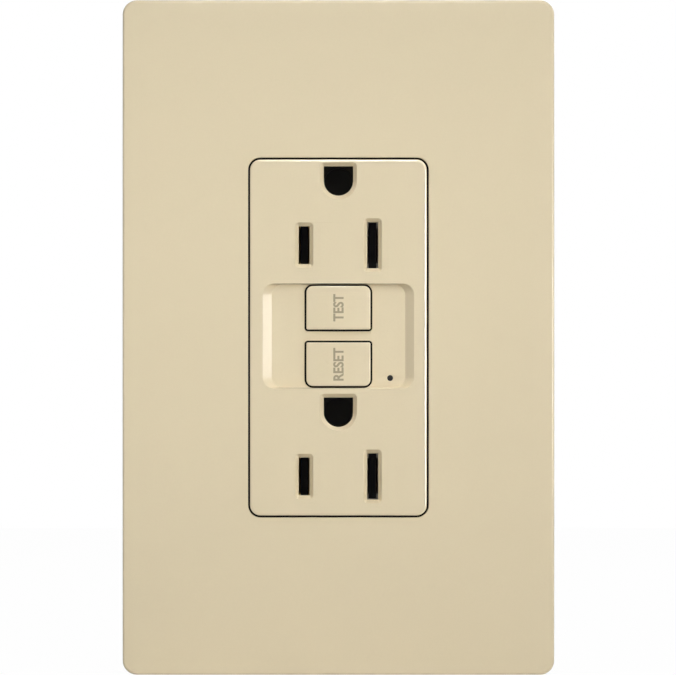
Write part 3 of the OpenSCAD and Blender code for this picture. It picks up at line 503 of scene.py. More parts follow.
def banded_body(name, node, colour, bands):
    """Body of a small component with painted bands along its longest side."""
    material, tree, shader, place = new_surface(name)
    low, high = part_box(node)
    sides = list(high - low)
    axis = sides.index(max(sides))
    group = grained(tree, moulded_grain(), place, 0.2)
    parts = tree.add("ShaderNodeSeparateXYZ", {0: place})
    along = tree.shape("ShaderNodeMapRange", {
        "Value": parts.outputs[axis], "From Min": low[axis], "From Max": high[axis]})
    ramp = tree.add("ShaderNodeValToRGB", {0: along})
    ramp.color_ramp.interpolation = "CONSTANT"
    points = ramp.color_ramp.elements
    points[0].color = paint(colour)
    points.remove(points[1])
    for start, end, band in bands:
        points.new(start).color = paint(band)
        points.new(end).color = paint(colour)
    toned = tree.tone(group["Clouds"], 0.9, 1.1, ramp.outputs["Color"])
    dress(tree, shader, toned, tree.span(group["Gloss"], 0.3, 0.45), group["Height"], 0.008)
    return material


# Colour, roughness, grain size, grain depth, strength of the clouds and plain shader values
PLASTICS = {
    "ivory_plastic": ("ivory", 0.15, 0.35, 0.004, 0.03, {"IOR": 1.46}),
    "button_print": ("print", 0.5, 0.12, 0.003, 0.12, {}),
    "frame_plastic": ("frame", 0.5, 0.4, 0.008, 0.04, {}),
    "carrier_plastic": ("carrier", 0.48, 0.4, 0.012, 0.12, {}),
    "body_plastic": ("housing", 0.46, 0.45, 0.014, 0.15, {}),
    "natural_plastic": ("natural", 0.4, 0.3, 0.006, 0.05, {}),
    # The clear light pipe is nearly black with almost no sheen: painted shade that makes the indicator hole
    # show dark
    "clear_plastic": ((0.006, 0.006, 0.006), 0.3, 0.5, 0.003, 0.02,
                      {"Transmission Weight": 0.3, "IOR": 1.49, "Specular IOR Level": 0.02}),
    "lamp_red": ((0.6, 0.02, 0.012), 0.2, 0.3, 0.003, 0.06, {"Transmission Weight": 0.4}),
    "green_steel": ("green", 0.3, 0.35, 0.006, 0.18, {"Metallic": 0.7}),
    "varistor_blue": ((0.03, 0.09, 0.26), 0.32, 0.5, 0.02, 0.12, {}),
    "capacitor_ochre": ((0.42, 0.18, 0.03), 0.3, 0.5, 0.02, 0.12, {}),
    "component_black": ((0.008, 0.008, 0.008), 0.5, 0.2, 0.01, 0.2, {"Specular IOR Level": 0.1}),
}
# Colour, colour of the stains, roughness and grain size
METALS = {
    "zinc_steel": ("zinc", (0.36, 0.37, 0.4), 0.34, 0.5),
    "spring_steel": ((0.42, 0.41, 0.4), (0.24, 0.22, 0.2), 0.3, 0.25),
    "nickel": ((0.62, 0.58, 0.5), (0.42, 0.38, 0.32), 0.28, 0.4),
    "brass": ("brass", (0.4, 0.24, 0.08), 0.3, 0.45),
    "copper": ("copper", (0.36, 0.13, 0.06), 0.32, 0.4),
    "enamelled_wire": ((0.5, 0.17, 0.06), (0.3, 0.08, 0.025), 0.26, 0.3),
}
# Node, colour, and start, end and colour of each band
BANDED = {
    "sleeve_blue": ("filter_capacitor", (0.02, 0.035, 0.1), [(0.9, 0.999, (0.45, 0.46, 0.47))]),
    "resistor_tan": ("test_resistor", (0.45, 0.27, 0.13), [
        (0.3, 0.36, (0.12, 0.03, 0.01)),
        (0.42, 0.48, (0.01, 0.01, 0.01)),
        (0.54, 0.6, (0.4, 0.02, 0.01)),
        (0.68, 0.73, (0.5, 0.3, 0.06))]),
}
# Finish of the dark rings that paint the shade in the gaps round the face and the buttons
SHADE_RING_SLOT = "component_black"


def finish(slot):
    """Material for a slot, built when it is first asked for."""
    name = "Finish " + slot
    if name in bpy.data.materials:
        return bpy.data.materials[name]
    if slot == "board":
        return track_board(name)
    for build, table in ((moulding, PLASTICS), (metal, METALS), (banded_body, BANDED)):
        if slot in table:
            return build(name, *table[slot])
    raise ValueError("no finish for " + slot)


# Outlines, as lists of (x, z) points that run anticlockwise seen from the front

def arc_points(radius, centre, angles):
    """Points on a circle."""
    return [(centre[0] + radius * math.cos(a), centre[1] + radius * math.sin(a)) for a in angles]


def quarter(first, steps):
    """Angles over a quarter of a circle, from a number of quarters on."""
    return [(first + step / steps) * math.pi / 2 for step in range(steps + 1)]


def rounded(width, height, radii, centre=(0.0, 0.0), arc=6, side=1, end=1):
    """Rectangle with round corners, from the lower right one on; side and end are steps along its edges."""
    if not isinstance(radii, (tuple, list)):
        radii = (radii,) * 4
    arcs = []
    for turn, (right, up) in enumerate(((1, -1), (1, 1), (-1, 1), (-1, -1))):
        radius = radii[turn]
        middle = (centre[0] + right * (width / 2 - radius), centre[1] + up * (height / 2 - radius))
        arcs.append(arc_points(radius, middle, quarter(turn - 1, arc)))
    points = []
    for turn, corner in enumerate(arcs):
        points += corner
        (x0, z0), (x1, z1) = corner[-1], arcs[(turn + 1) % 4][0]
        steps = end if turn % 2 else side
        points += [(x0 + (x1 - x0) * i / steps, z0 + (z1 - z0) * i / steps) for i in range(1, steps)]
    return points


def circle(radius, centre=(0.0, 0.0), steps=24):
    """Round outline."""
    return arc_points(radius, centre, [2 * math.pi * step / steps for step in range(steps)])


def ground_outline(sizes, centre_z, grow, arc=6):
    """Ground hole: round below and square above."""
    radius = sizes.ground_radius + grow
    corner = max(grow, sizes.slot_corner)
    top = centre_z + sizes.ground_top + grow - corner
    points = arc_points(corner, (radius - corner, top), quarter(0, arc))
    points += arc_points(corner, (corner - radius, top), quarter(1, arc))
    low_half = [math.pi * (1 + step / (4 * arc)) for step in range(4 * arc + 1)]
    return points + arc_points(radius, (0.0, centre_z), low_half)


def button_outline(sizes, up, inset):
    """Outline of the upper button (up is 1) or the lower one (up is -1)."""
    low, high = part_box("test_button" if up > 0 else "reset_button")
    outer = max(sizes.corner - inset, LAP)
    inner = max(sizes.bridge_corner - inset, LAP)
    radii = (inner, outer, outer, inner) if up > 0 else (outer, inner, inner, outer)
    return rounded(sizes.width - 2 * inset, sizes.height - 2 * inset, radii, (0.0, (low.z + high.z) / 2),
                   arc=6, side=4, end=10)


def between(first, second, part):
    """Outline part of the way from one outline to another."""
    return [(a + (c - a) * part, b + (d - b) * part) for (a, b), (c, d) in zip(first, second)]


def quarter_round(radius, steps=4):
    """Pairs of inset and depth that round an edge, from the front to the side."""
    return [(radius * (1 - math.sin(a)), radius * (1 - math.cos(a))) for a in quarter(0, steps)]


def chamfer(width, slope=0.364):
    """Pairs of inset and depth of a sloping edge with soft corners, from the front to the side."""
    soft = width / 4
    across = soft / math.hypot(1, slope)
    down = across * slope
    deep = width * slope
    return [(width + soft, 0.0), (width + (soft - across) / 4, down / 4), (width - across, down),
            (across, deep - down), (across / 4, deep + (soft - down) / 4), (0.0, deep + soft)]


# Meshes

class Shell:
    """Points and faces of one moulding, made of rows of points that are joined into walls."""

    def __init__(self):
        self.points = []
        self.faces = []

    def row(self, outline, depth):
        """Closed row of points; depth is one value of y or a function of x and z."""
        first = len(self.points)
        for x, z in outline:
            self.points.append((x, depth(x, z) if callable(depth) else depth, z))
        return list(range(first, len(self.points)))

    def run(self, rows):
        """Faces between each row and the next, which are of equal length."""
        for first, second in zip(rows, rows[1:]):
            count = len(first)
            for i in range(count):
                j = (i + 1) % count
                self.faces.append((first[i], first[j], second[j], second[i]))

    def fill(self, row, holes=()):
        """Closes a row, leaving holes open."""
        loops = [row, *holes]
        order = [index for loop in loops for index in loop]
        flat = [[Vector((self.points[i][0], self.points[i][2], 0.0)) / MM for i in loop] for loop in loops]
        for triangle in tessellate_polygon(flat):
            self.faces.append(tuple(order[i] for i in triangle))

    def solid(self, rows):
        """Faces between rows, with both ends closed."""
        self.run(rows)
        self.fill(rows[0])
        self.fill(rows[-1])

    def ring(self, rows):
        """Faces between rows that come round to the first again."""
        self.run([*rows, rows[0]])

    def prism(self, outline, front, back, edge):
        """Closed block along Y with rounded ends; outline gives the outline at an inset."""
        rows = [self.row(outline(inset), front + drop) for inset, drop in quarter_round(edge, 2)]
        rows += [self.row(outline(inset), back - drop) for inset, drop in reversed(quarter_round(edge, 2))]
        self.solid(rows)

    def mesh(self, name):
        """Welded mesh with its faces outwards."""
        mesh = bpy.data.meshes.new(name)
        mesh.from_pydata(self.points, [], self.faces)
        form = bmesh.new()
        form.from_mesh(mesh)
        bmesh.ops.remove_doubles(form, verts=form.verts, dist=SAME_POINT)
        bmesh.ops.dissolve_degenerate(form, dist=SAME_POINT / 10, edges=form.edges)
        bmesh.ops.recalc_face_normals(form, faces=form.faces)
        form.to_mesh(mesh)
        form.free()
        return mesh


def piece(name, mesh, slot, body, replaced=(), surface=None):
    """Object for a finished mesh, riding on its body."""
    thing = bpy.data.objects.new(name, mesh)
    bpy.context.scene.collection.objects.link(thing)
    mesh.materials.clear()
    mesh.materials.append(finish(surface or slot))
    mesh.shade_smooth()
    mesh.set_sharp_from_angle(angle=SMOOTH_ANGLE)
    even = thing.modifiers.new("Even shading", "WEIGHTED_NORMAL")
    even.keep_sharp = True
    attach(thing, body)
    if replaced:
        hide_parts(*replaced)
    return thing


def stand_in(node, mesh):
    """Finished piece in the place of one solid."""
    return piece(node + "_form", mesh, SLOT_OF[node], NODES[node]["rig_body"], (node,))


def add_shade_ring(node, rows_of):
    """Dark ring behind the gap round a node, which paints the gap's shade; rows_of gives its rows in a shell.
    """
    shell = Shell()
    shell.ring(rows_of(shell))
    name = node.replace("_cover", "") + "_seal"
    piece(name, shell.mesh(name), SHADE_RING_SLOT, NODES[node]["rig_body"])


def welded(node):
    """Copy of a solid with its triangles joined and its flat faces whole."""
    form = bmesh.new()
    form.from_mesh(NODES[node].data)
    bmesh.ops.remove_doubles(form, verts=form.verts, dist=2e-6)
    bmesh.ops.dissolve_limit(form, angle_limit=math.radians(0.5), verts=form.verts, edges=form.edges)
    return form


def soften(form, width):
    """Rounds the sharp edges of a form."""
    ridges = [edge for edge in form.edges if edge.is_manifold and edge.calc_face_angle() > SMOOTH_ANGLE]
    bmesh.ops.bevel(form, geom=ridges, offset=width, offset_type="OFFSET", segments=2, profile=0.5,
                    affect="EDGES", clamp_overlap=True)
    bmesh.ops.remove_doubles(form, verts=form.verts, dist=SAME_POINT)
    bmesh.ops.dissolve_degenerate(form, dist=SAME_POINT, edges=form.edges)


def to_mesh(form, name):
    """Mesh of a form, which is freed."""
    mesh = bpy.data.meshes.new(name)
    form.to_mesh(mesh)
    form.free()
    return mesh


def joined(node, meshes):
    """Finished piece of one solid from several meshes."""
    form = bmesh.new()
    for mesh in meshes:
        form.from_mesh(mesh)
    return stand_in(node, to_mesh(form, node + "_form"))


def middle_of(node):
    """Corners and middle of a node's box."""
    low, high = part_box(node)
    return low, high, (low + high) / 2


# Geometry Nodes

def grown(name, node, tree, values):
    """Plain mesh in a node's finish from a Geometry Nodes tree with its named values."""
    values["Material"] = finish(SLOT_OF[node])
    host = bpy.data.objects.new(name, bpy.data.meshes.new(name))
    bpy.context.scene.collection.objects.link(host)
    modifier = host.modifiers.new("Shape", "NODES")
    modifier.node_group = tree
    for item in tree.interface.items_tree:
        if item.item_type == "SOCKET" and item.in_out == "INPUT":
            modifier[item.identifier] = values[item.name]
    depsgraph = bpy.context.evaluated_depsgraph_get()
    mesh = bpy.data.meshes.new_from_object(host.evaluated_get(depsgraph))
    host.modifiers.remove(modifier)
    bpy.data.objects.remove(host)
    mesh.name = name
    return mesh


def end_tree(tree, source, target, geometry):
    """Realizes instances, sets the material and closes the tree."""
    whole = tree.shape("GeometryNodeRealizeInstances", {"Geometry": geometry})
    painted = tree.shape("GeometryNodeSetMaterial", {"Geometry": whole, "Material": source["Material"]})
    tree.feed(target["Geometry"], painted)


def helix(tree, steps, turns, radius, rise):
    """Curve that winds round Z."""
    return tree.shape("GeometryNodeCurveSpiral", {
        "Resolution": steps, "Rotations": turns, "Height": rise,
        "Start Radius": radius, "End Radius": radius})


def wire_circle(tree, steps, radius):
    """Closed round curve."""
    return tree.shape("GeometryNodeCurvePrimitiveCircle", {"Resolution": steps, "Radius": radius})


def swept(tree, curve, profile, caps):
    """Mesh of a profile led along a curve."""
    return tree.shape("GeometryNodeCurveToMesh", {
        "Curve": curve, "Profile Curve": profile, "Fill Caps": caps})


def moved_up(tree, geometry, rise):
    """Geometry shifted along Z."""
    shift = tree.shape("ShaderNodeCombineXYZ", {2: rise})
    return tree.shape("GeometryNodeTransform", {"Geometry": geometry, "Translation": shift})


@shared_group("Wire coil", "GeometryNodeTree",
              {"Coil radius": 0.002, "Wire radius": 0.0003, "Turns": 6.0, "Rise": 0.01, "Material": None},
              ("Geometry",))
def coil_tree(tree, source, target):
    """Round wire on a helix that rises along Z."""
    path = helix(tree, 28, source["Turns"], source["Coil radius"], source["Rise"])
    tube = swept(tree, path, wire_circle(tree, 8, source["Wire radius"]), True)
    end_tree(tree, source, target, tube)


@shared_group("Threaded shank", "GeometryNodeTree",
              {"Core radius": 0.0014, "Ridge height": 0.0003, "Pitch": 0.0008, "Length": 0.01,
               "Material": None},
              ("Geometry",))
def thread_tree(tree, source, target):
    """Threaded shank that rises along Z: a core with a ridge wound round it."""
    pitch, core_radius = source["Pitch"], source["Core radius"]
    rise = tree.maths("SUBTRACT", source["Length"], pitch)
    path = helix(tree, 24, tree.maths("DIVIDE", rise, pitch), core_radius, rise)
    upright = tree.shape("GeometryNodeSetCurveNormal", {"Curve": path}, mode="Z_UP")
    flanks = tree.shape("ShaderNodeCombineXYZ", {
        0: source["Ridge height"], 1: tree.maths("MULTIPLY", pitch, 0.46), 2: 1.0})
    ridge = tree.shape("GeometryNodeTransform", {"Geometry": wire_circle(tree, 4, 1.0), "Scale": flanks})
    wound = moved_up(tree, swept(tree, upright, ridge, True), tree.maths("MULTIPLY", pitch, 0.5))
    core = tree.shape("GeometryNodeMeshCylinder", {
        "Vertices": 32, "Radius": core_radius, "Depth": source["Length"]})
    standing = moved_up(tree, core, tree.maths("MULTIPLY", source["Length"], 0.5))
    both = tree.add("GeometryNodeJoinGeometry")
    tree.feed(both.inputs[0], wound)
    tree.feed(both.inputs[0], standing)
    end_tree(tree, source, target, both.outputs[0])


@shared_group("Wound ring", "GeometryNodeTree",
              {"Ring radius": 0.0046, "Loop width": 0.003, "Loop depth": 0.003, "Loop corner": 0.0005,
               "Wire radius": 0.00013, "Loops": 56, "Material": None},
              ("Geometry",))
def ring_tree(tree, source, target):
    """Loops of wire round a ring that lies flat, with its axis along Z."""
    ring = wire_circle(tree, source["Loops"], source["Ring radius"])
    upright = tree.shape("GeometryNodeSetCurveNormal", {"Curve": ring}, mode="Z_UP")
    places = tree.add("GeometryNodeCurveToPoints", {"Curve": upright}, mode="EVALUATED")
    loop = tree.shape("GeometryNodeCurvePrimitiveQuadrilateral", {
        "Width": source["Loop width"], "Height": source["Loop depth"]})
    round_loop = tree.shape("GeometryNodeFilletCurve", {
        "Curve": loop, "Radius": source["Loop corner"], "Count": 3}, mode="POLY")
    strand = swept(tree, round_loop, wire_circle(tree, 6, source["Wire radius"]), False)
    wound = tree.shape("GeometryNodeInstanceOnPoints", {
        "Points": places.outputs["Points"], "Instance": strand, "Rotation": places.outputs["Rotation"]})
    end_tree(tree, source, target, wound)


def thread(node, start, direction, run, crest):
    """Threaded shank from a point along a direction."""
    sizes = bpy.context.scene.outlet_metal
    depth = min(sizes.thread_depth, crest * sizes.thread_share)
    mesh = grown(node + "_thread", node, thread_tree(), {
        "Core radius": crest - depth, "Ridge height": depth, "Pitch": sizes.pitch, "Length": run})
    turn = Vector(direction).to_track_quat("Z", "Y").to_matrix().to_4x4()
    mesh.transform(Matrix.Translation(start) @ turn)
    return mesh


def screw_heads(node, point, normal):
    """Heads of a node's screws, with a short collar on the other side of a plane under them."""
    sizes = bpy.context.scene.outlet_metal
    plane = Vector(point) - sizes.collar * Vector(normal)
    form = welded(node)
    whole = [*form.verts, *form.edges, *form.faces]
    cut = bmesh.ops.bisect_plane(form, geom=whole, plane_co=plane, plane_no=normal, clear_inner=True)
    rim = [item for item in cut["geom_cut"] if isinstance(item, bmesh.types.BMEdge)]
    bmesh.ops.edgeloop_fill(form, edges=rim)
    bmesh.ops.recalc_face_normals(form, faces=form.faces)
    soften(form, sizes.soft_edge)
    return to_mesh(form, node + "_heads")


# Pieces

class OUTLET_OT_cover(Operator):
    """Builds the crowned clip-on cover with its collar and grip pads"""
    bl_idname = "outlet.cover"
    bl_label = "Cover"

    def execute(self, context):
        sizes = context.scene.outlet_cover
        low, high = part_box("wallplate_cover")
        width, height = high.x - low.x, high.z - low.z
        foot, collar, collar_back = sizes.foot, sizes.collar_wall, -sizes.collar_back
        smallest_corner = 0.4 * MM
        front_steps, back_steps = 10, 5
        shell = Shell()

        def outer(inset):
            return rounded(width - 2 * inset, height - 2 * inset, max(sizes.corner - inset, smallest_corner),
                           arc=8, side=28, end=8)

        def opening(grow):
            return rounded(sizes.opening_width + 2 * grow, sizes.opening_height + 2 * grow,
                           sizes.opening_corner + grow, arc=8, side=28, end=8)

        def behind(depth):
            return lambda x, z: low.y + depth + sizes.crown * (2 * z / height) ** 2

        def spread(start, end, steps, depth):
            return [shell.row(between(start, end, step), behind(depth)) for step in steps]

        rows = [shell.row(outer(foot), high.y), shell.row(outer(0), high.y - foot)]
        rows += [shell.row(outer(inset), behind(drop))
                 for inset, drop in reversed(quarter_round(sizes.edge, 5))]
        parts = [step / front_steps for step in range(1, front_steps)]
        rows += spread(outer(sizes.edge), opening(sizes.lip), parts, 0.0)
        rows += [shell.row(opening(inset), behind(drop)) for inset, drop in quarter_round(sizes.lip)]
        rows += [shell.row(opening(grow), y) for grow, y in (
            (0, collar_back - foot), (foot, collar_back),
            (collar - foot, collar_back), (collar, collar_back - foot))]
        parts = [step / back_steps for step in range(back_steps + 1)]
        rows += spread(opening(collar), outer(sizes.wall), parts, sizes.wall)
        rows.append(shell.row(outer(sizes.wall), high.y))
        shell.ring(rows)
        self.add_pads(shell, sizes, high)
        stand_in("wallplate_cover", shell.mesh("wallplate_cover_form"))
        return {"FINISHED"}

    def add_pads(self, shell, sizes, high):
        """Eight pads on the inner walls that grip the frame."""
        frame_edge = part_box("wallplate_frame")[1]
        sunk = 0.02 * MM
        thick_x = high.x - sizes.wall + sunk - frame_edge.x - LAP
        thick_z = high.z - sizes.wall + sunk - frame_edge.z - LAP
        middle_x = frame_edge.x + LAP + thick_x / 2
        middle_z = frame_edge.z + LAP + thick_z / 2
        spread_z, spread_x = high.z * 2 / 3, high.x / 2
        for right in SIDES:
            for up in SIDES:
                for wide, tall, centre in (
                        (thick_x, sizes.pad_length, (right * middle_x, up * spread_z)),
                        (sizes.pad_length, thick_z, (right * spread_x, up * middle_z))):
                    shell.prism(
                        lambda inset: rounded(wide - 2 * inset, tall - 2 * inset, FINE_EDGE, centre, arc=2),
                        sizes.pad_front, sizes.pad_back, FINE_EDGE)


class OUTLET_OT_face(Operator):
    """Builds the device face with its slots, ground holes and sunk panel"""
    bl_idname = "outlet.face"
    bl_label = "Face"

    def execute(self, context):
        sizes = context.scene.outlet_face
        buttons = context.scene.outlet_buttons
        low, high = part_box("face_cover")
        front, back = low.y, high.y
        ceiling = front + sizes.top
        panel_floor = front + sizes.panel_depth
        tube_end = back - FINE_EDGE
        width, height = high.x - low.x - 2 * sizes.trim, high.z - low.z - 2 * sizes.trim
        margin, depth, crisp, lip = sizes.margin, sizes.margin_depth, sizes.margin_edge, FINE_EDGE
        upper_ground = sizes.upper_slots + sizes.ground_rise
        lower_ground = sizes.lower_slots + sizes.ground_rise
        shell = Shell()
        front_holes, ceiling_holes, panel_holes = [], [], []

        # Pairs of growth and depth from the front down the margin to the opening itself
        funnel = [(margin + crisp, 0.0), (margin + 0.3 * crisp, 0.2 * crisp),
                  (margin - 0.2 * crisp, 0.6 * crisp), (0.6 * lip, depth - 0.3 * lip),
                  (0.15 * lip, depth), (0.0, depth + 0.7 * lip)]

        def outer(inset):
            return rounded(width - 2 * inset, height - 2 * inset, sizes.corner - inset, arc=10)

        def tube(outline, end, shroud):
            """Margin and bore of one opening, back to the front wall along its shroud if it has one."""
            rows = [shell.row(outline(grow), front + drop) for grow, drop in funnel]
            rows.append(shell.row(outline(0), end))
            if shroud:
                rows += [shell.row(outline(shroud), y) for y in (end, ceiling)]
            shell.run(rows)
            front_holes.append(rows[0])
            return rows[-1]

        for right, tall in ((-1, sizes.hot_height), (1, sizes.neutral_height)):
            for level in (sizes.upper_slots, sizes.lower_slots):
                ceiling_holes.append(tube(
                    lambda grow: rounded(sizes.slot_width + 2 * grow, tall + 2 * grow,
                                         max(grow, sizes.slot_corner), (right * sizes.slot_x, level)),
                    tube_end, sizes.shroud))
        ceiling_holes.append(tube(
            lambda grow: ground_outline(sizes, lower_ground, grow), tube_end, sizes.shroud))
        upper_tube = tube(lambda grow: ground_outline(sizes, upper_ground, grow), back, 0)

        # Width, height and place of each row down the slopes of the panel
        panel = [
            (sizes.panel_width + 1.6 * lip, sizes.panel_height + 0.8 * lip, front),
            (sizes.panel_width + 0.2 * lip, sizes.panel_height + 0.2 * lip, front + 0.2 * lip),
            (sizes.panel_width - 1.4 * lip, sizes.panel_height - 0.1 * lip, front + 0.6 * lip),
            (sizes.floor_width + 1.0 * lip, sizes.floor_height + 0.1 * lip, panel_floor - 0.3 * lip),
            (sizes.floor_width - 0.4 * lip, sizes.floor_height, panel_floor)]
        rows = [shell.row(rounded(wide, tall, sizes.panel_corner, (0.0, sizes.panel_z), arc=8), y)
                for wide, tall, y in panel]
        shell.run(rows)
        front_holes.append(rows[0])
        panel_rim = rows[-1]

        lamp = (sizes.lamp_x, sizes.lamp_z)
        through = []
        for up in SIDES:
            rows = [shell.row(button_outline(buttons, up, -buttons.gap - grow), panel_floor + drop)
                    for grow, drop in quarter_round(buttons.hole_edge, 3)]
            rows.append(shell.row(button_outline(buttons, up, -buttons.gap), ceiling))
            through.append(rows)
        through.append([shell.row(circle(sizes.lamp_radius + grow, lamp), y) for grow, y in (
            (lip, panel_floor), (0.3 * lip, panel_floor + 0.3 * lip),
            (0.0, panel_floor + lip), (0.0, ceiling))])
        for rows in through:
            shell.run(rows)
            panel_holes.append(rows[0])
            ceiling_holes.append(rows[-1])

        rows = [shell.row(outer(inset), front + drop) for inset, drop in chamfer(sizes.edge)]
        rows.append(shell.row(outer(0), back))
        shell.run(rows)
        inner = self.cavity(sizes, width, height, upper_ground)
        inner_rows = [shell.row(inner, back), shell.row(inner, ceiling)]
        shell.run(inner_rows)
        shell.fill(rows[0], front_holes)
        shell.fill(panel_rim, panel_holes)
        shell.fill(inner_rows[1], ceiling_holes)
        shell.fill(rows[-1], [inner_rows[0], upper_tube])
        self.add_bosses(shell, sizes, ceiling, back)
        stand_in("face_cover", shell.mesh("face_cover_form"))
        # Dark ring behind the gap round the face, which paints the gap's shade
        seal_front, seal_back = back - sizes.seal_front, back - sizes.seal_back
        add_shade_ring("face_cover", lambda ring: [ring.row(outer(inset), y) for inset, y in (
            (LAP, seal_front), (-sizes.seal, seal_front), (-sizes.seal, seal_back), (LAP, seal_back))])
        return {"FINISHED"}

    def cavity(self, sizes, width, height, upper_ground):
        """Outline of the hollow behind the face, which passes below the upper ground tube."""
        corner = sizes.corner - sizes.side + 0.4 * MM
        inside = rounded(width - 2 * sizes.side, height - 2 * sizes.side, corner, arc=4)
        top = height / 2 - sizes.side
        radius = sizes.ground_radius + sizes.shroud
        steps = 20
        angles = [-math.pi * step / steps for step in range(steps + 1)]
        below = arc_points(radius, (0.0, upper_ground), angles)
        half = len(inside) // 2
        return [*inside[:half], (radius, top), *below, (-radius, top), *inside[half:]]

    def add_bosses(self, shell, sizes, ceiling, back):
        """Bored bosses for the assembly screws, let into the corners."""
        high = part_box("assembly_screws")[1]
        for right in SIDES:
            for up in SIDES:
                centre = (right * (high.x - ASSEMBLY_HEAD), up * (high.z - ASSEMBLY_HEAD))
                shell.solid([shell.row(circle(radius, centre), y) for radius, y in (
                    (sizes.boss_radius, ceiling - sizes.boss_sunk), (sizes.boss_radius, back),
                    (sizes.boss_bore, back), (sizes.boss_bore, ceiling + sizes.boss_sunk))])


class OUTLET_OT_buttons(Operator):
    """Builds the test and reset buttons with their stops and stems"""
    bl_idname = "outlet.buttons"
    bl_label = "Buttons"

    def execute(self, context):
        for node, up in (("test_button", 1), ("reset_button", -1)):
            self.build(context.scene.outlet_buttons, node, up)
        return {"FINISHED"}

    def build(self, sizes, node, up):
        """One button."""
        low, high, middle = middle_of(node)
        front = low.y + sizes.recess
        shell = Shell()

        def outline(inset):
            return button_outline(sizes, up, inset)

        def behind(depth):
            return lambda x, z: front + depth + sizes.crown * (2 * x / sizes.width) ** 2

        def shaft(radius, start, end):
            shell.prism(lambda inset: circle(radius - inset, (0.0, middle.z)), start, end, sizes.stem_edge)

        edge = chamfer(sizes.edge)
        rim = edge[0][0]
        reach = sizes.height / 2 - rim
        rows = [shell.row(outline(0), sizes.cap_back)]
        rows += [shell.row(outline(inset), behind(drop)) for inset, drop in reversed(edge)]
        rows += [shell.row(outline(rim + reach * part), behind(0.0)) for part in (0.2, 0.45, 0.7, 0.97)]
        shell.solid(rows)
        shell.prism(lambda inset: outline(inset - sizes.skirt),
                    sizes.skirt_front, sizes.skirt_back, FINE_EDGE)
        thick = sizes.skirt - sizes.gap - sizes.stop_gap
        for right in SIDES:
            place = (right * (sizes.width / 2 + sizes.skirt - thick / 2), middle.z)
            shell.prism(
                lambda inset: rounded(thick - 2 * inset, sizes.stop - 2 * inset, FINE_EDGE, place, arc=2),
                sizes.stop_front, sizes.stop_back, sizes.stop_edge)
        shaft(sizes.stem, sizes.stem_front, sizes.stem_end)
        if high.y > sizes.stem_end + MM:
            shaft(sizes.post, sizes.post_front, high.y)
        stand_in(node, shell.mesh(node + "_form"))
        # Dark ring on the skirt behind the button's gap, which paints the gap's shade
        seal_back = sizes.skirt_front
        seal_front = seal_back - sizes.seal_height
        add_shade_ring(node, lambda ring: [ring.row(outline(inset), y) for inset, y in (
            (LAP, seal_front), (-sizes.seal, seal_front), (-sizes.seal, seal_back), (LAP, seal_back))])


class OUTLET_OT_words(Operator):
    """Prints the plain words on the buttons"""
    bl_idname = "outlet.words"
    bl_label = "Words"

    def execute(self, context):
        sizes = context.scene.outlet_buttons
        self.print_word(sizes, "test_button", sizes.test_word)
        self.print_word(sizes, "reset_button", sizes.reset_word)
        return {"FINISHED"}

    def print_word(self, sizes, node, word):
        """One word on a button's crowned front, read from below upwards."""
        context = bpy.context
        low, _, centre = middle_of(node)
        text = bpy.data.curves.new(node + "_word", "FONT")
        text.body = word
        text.align_x = "CENTER"
        text.align_y = "CENTER"
        text.extrude = 0.5
        text.offset = sizes.letter_weight
        text.resolution_u = 4
        thing = bpy.data.objects.new(node + "_text", text)
        context.scene.collection.objects.link(thing)
        depsgraph = context.evaluated_depsgraph_get()
        mesh = bpy.data.meshes.new_from_object(thing.evaluated_get(depsgraph))
        bpy.data.objects.remove(thing)
        across = [vertex.co.y for vertex in mesh.vertices]
        along = [vertex.co.x for vertex in mesh.vertices]
        scale = sizes.letter_height / (max(across) - min(across))
        middle_across = (max(across) + min(across)) / 2
        middle_along = (max(along) + min(along)) / 2
        back = low.y + sizes.recess + sizes.letter_sunk
        for vertex in mesh.vertices:
            left = (vertex.co.y - middle_across) * scale
            up = (vertex.co.x - middle_along) * scale * sizes.letter_spread
            rise = sizes.letter_rise if vertex.co.z > 0 else 0.0
            sag = sizes.crown * (2 * left / sizes.width) ** 2
            vertex.co = (-left, back + sag - rise, centre.z + up)
        form = bmesh.new()
        form.from_mesh(mesh)
        bmesh.ops.remove_doubles(form, verts=form.verts, dist=SAME_POINT)
        bmesh.ops.recalc_face_normals(form, faces=form.faces)
        form.to_mesh(mesh)
        form.free()
        piece(node + "_word", mesh, SLOT_OF[node], NODES[node]["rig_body"], surface="button_print")


MOULDINGS = {
    "wallplate_frame": 1.6, "contact_carrier": 2.0, "rear_housing": 2.4, "contact_lifter": 1.0,
    "solenoid_bobbin": 0.8, "indicator_light_pipe": 0.5,
}
STAMPINGS = {
    "mounting_strap": 1.2, "ground_contacts": 0.8, "ground_clamp_plate": 0.8, "load_hot_bus": 0.8,
    "load_neutral_bus": 0.8, "line_hot_terminal": 0.8, "line_neutral_terminal": 0.8, "load_hot_clamp": 0.8,
    "load_neutral_clamp": 0.8, "line_hot_clamp": 0.8, "line_neutral_clamp": 0.8, "hot_contact_arm": 0.6,
    "neutral_contact_arm": 0.6, "line_hot_conductor": 0.8, "line_neutral_conductor": 0.8, "test_contact": 0.6,
    "latch_plate": 0.6, "reset_pin": 0.8, "solenoid_yoke": 0.8, "solenoid_plunger": 0.8,
}
COMPONENTS = {
    "circuit_board": 0.8, "indicator_lamp": 1.0, "surge_varistor": 1.6, "supply_capacitor": 1.6,
    "filter_capacitor": 1.2, "trip_thyristor": 0.8, "control_chip": 0.8, "test_resistor": 1.2,
    "bridge_diodes": 0.8,
}


def soft_copies(context, group):
    """Softened copies of solids, each with its own share of the soft edge."""
    edge = context.scene.outlet_metal.soft_edge
    for node, part in group.items():
        form = welded(node)
        soften(form, edge * part)
        stand_in(node, to_mesh(form, node + "_form"))


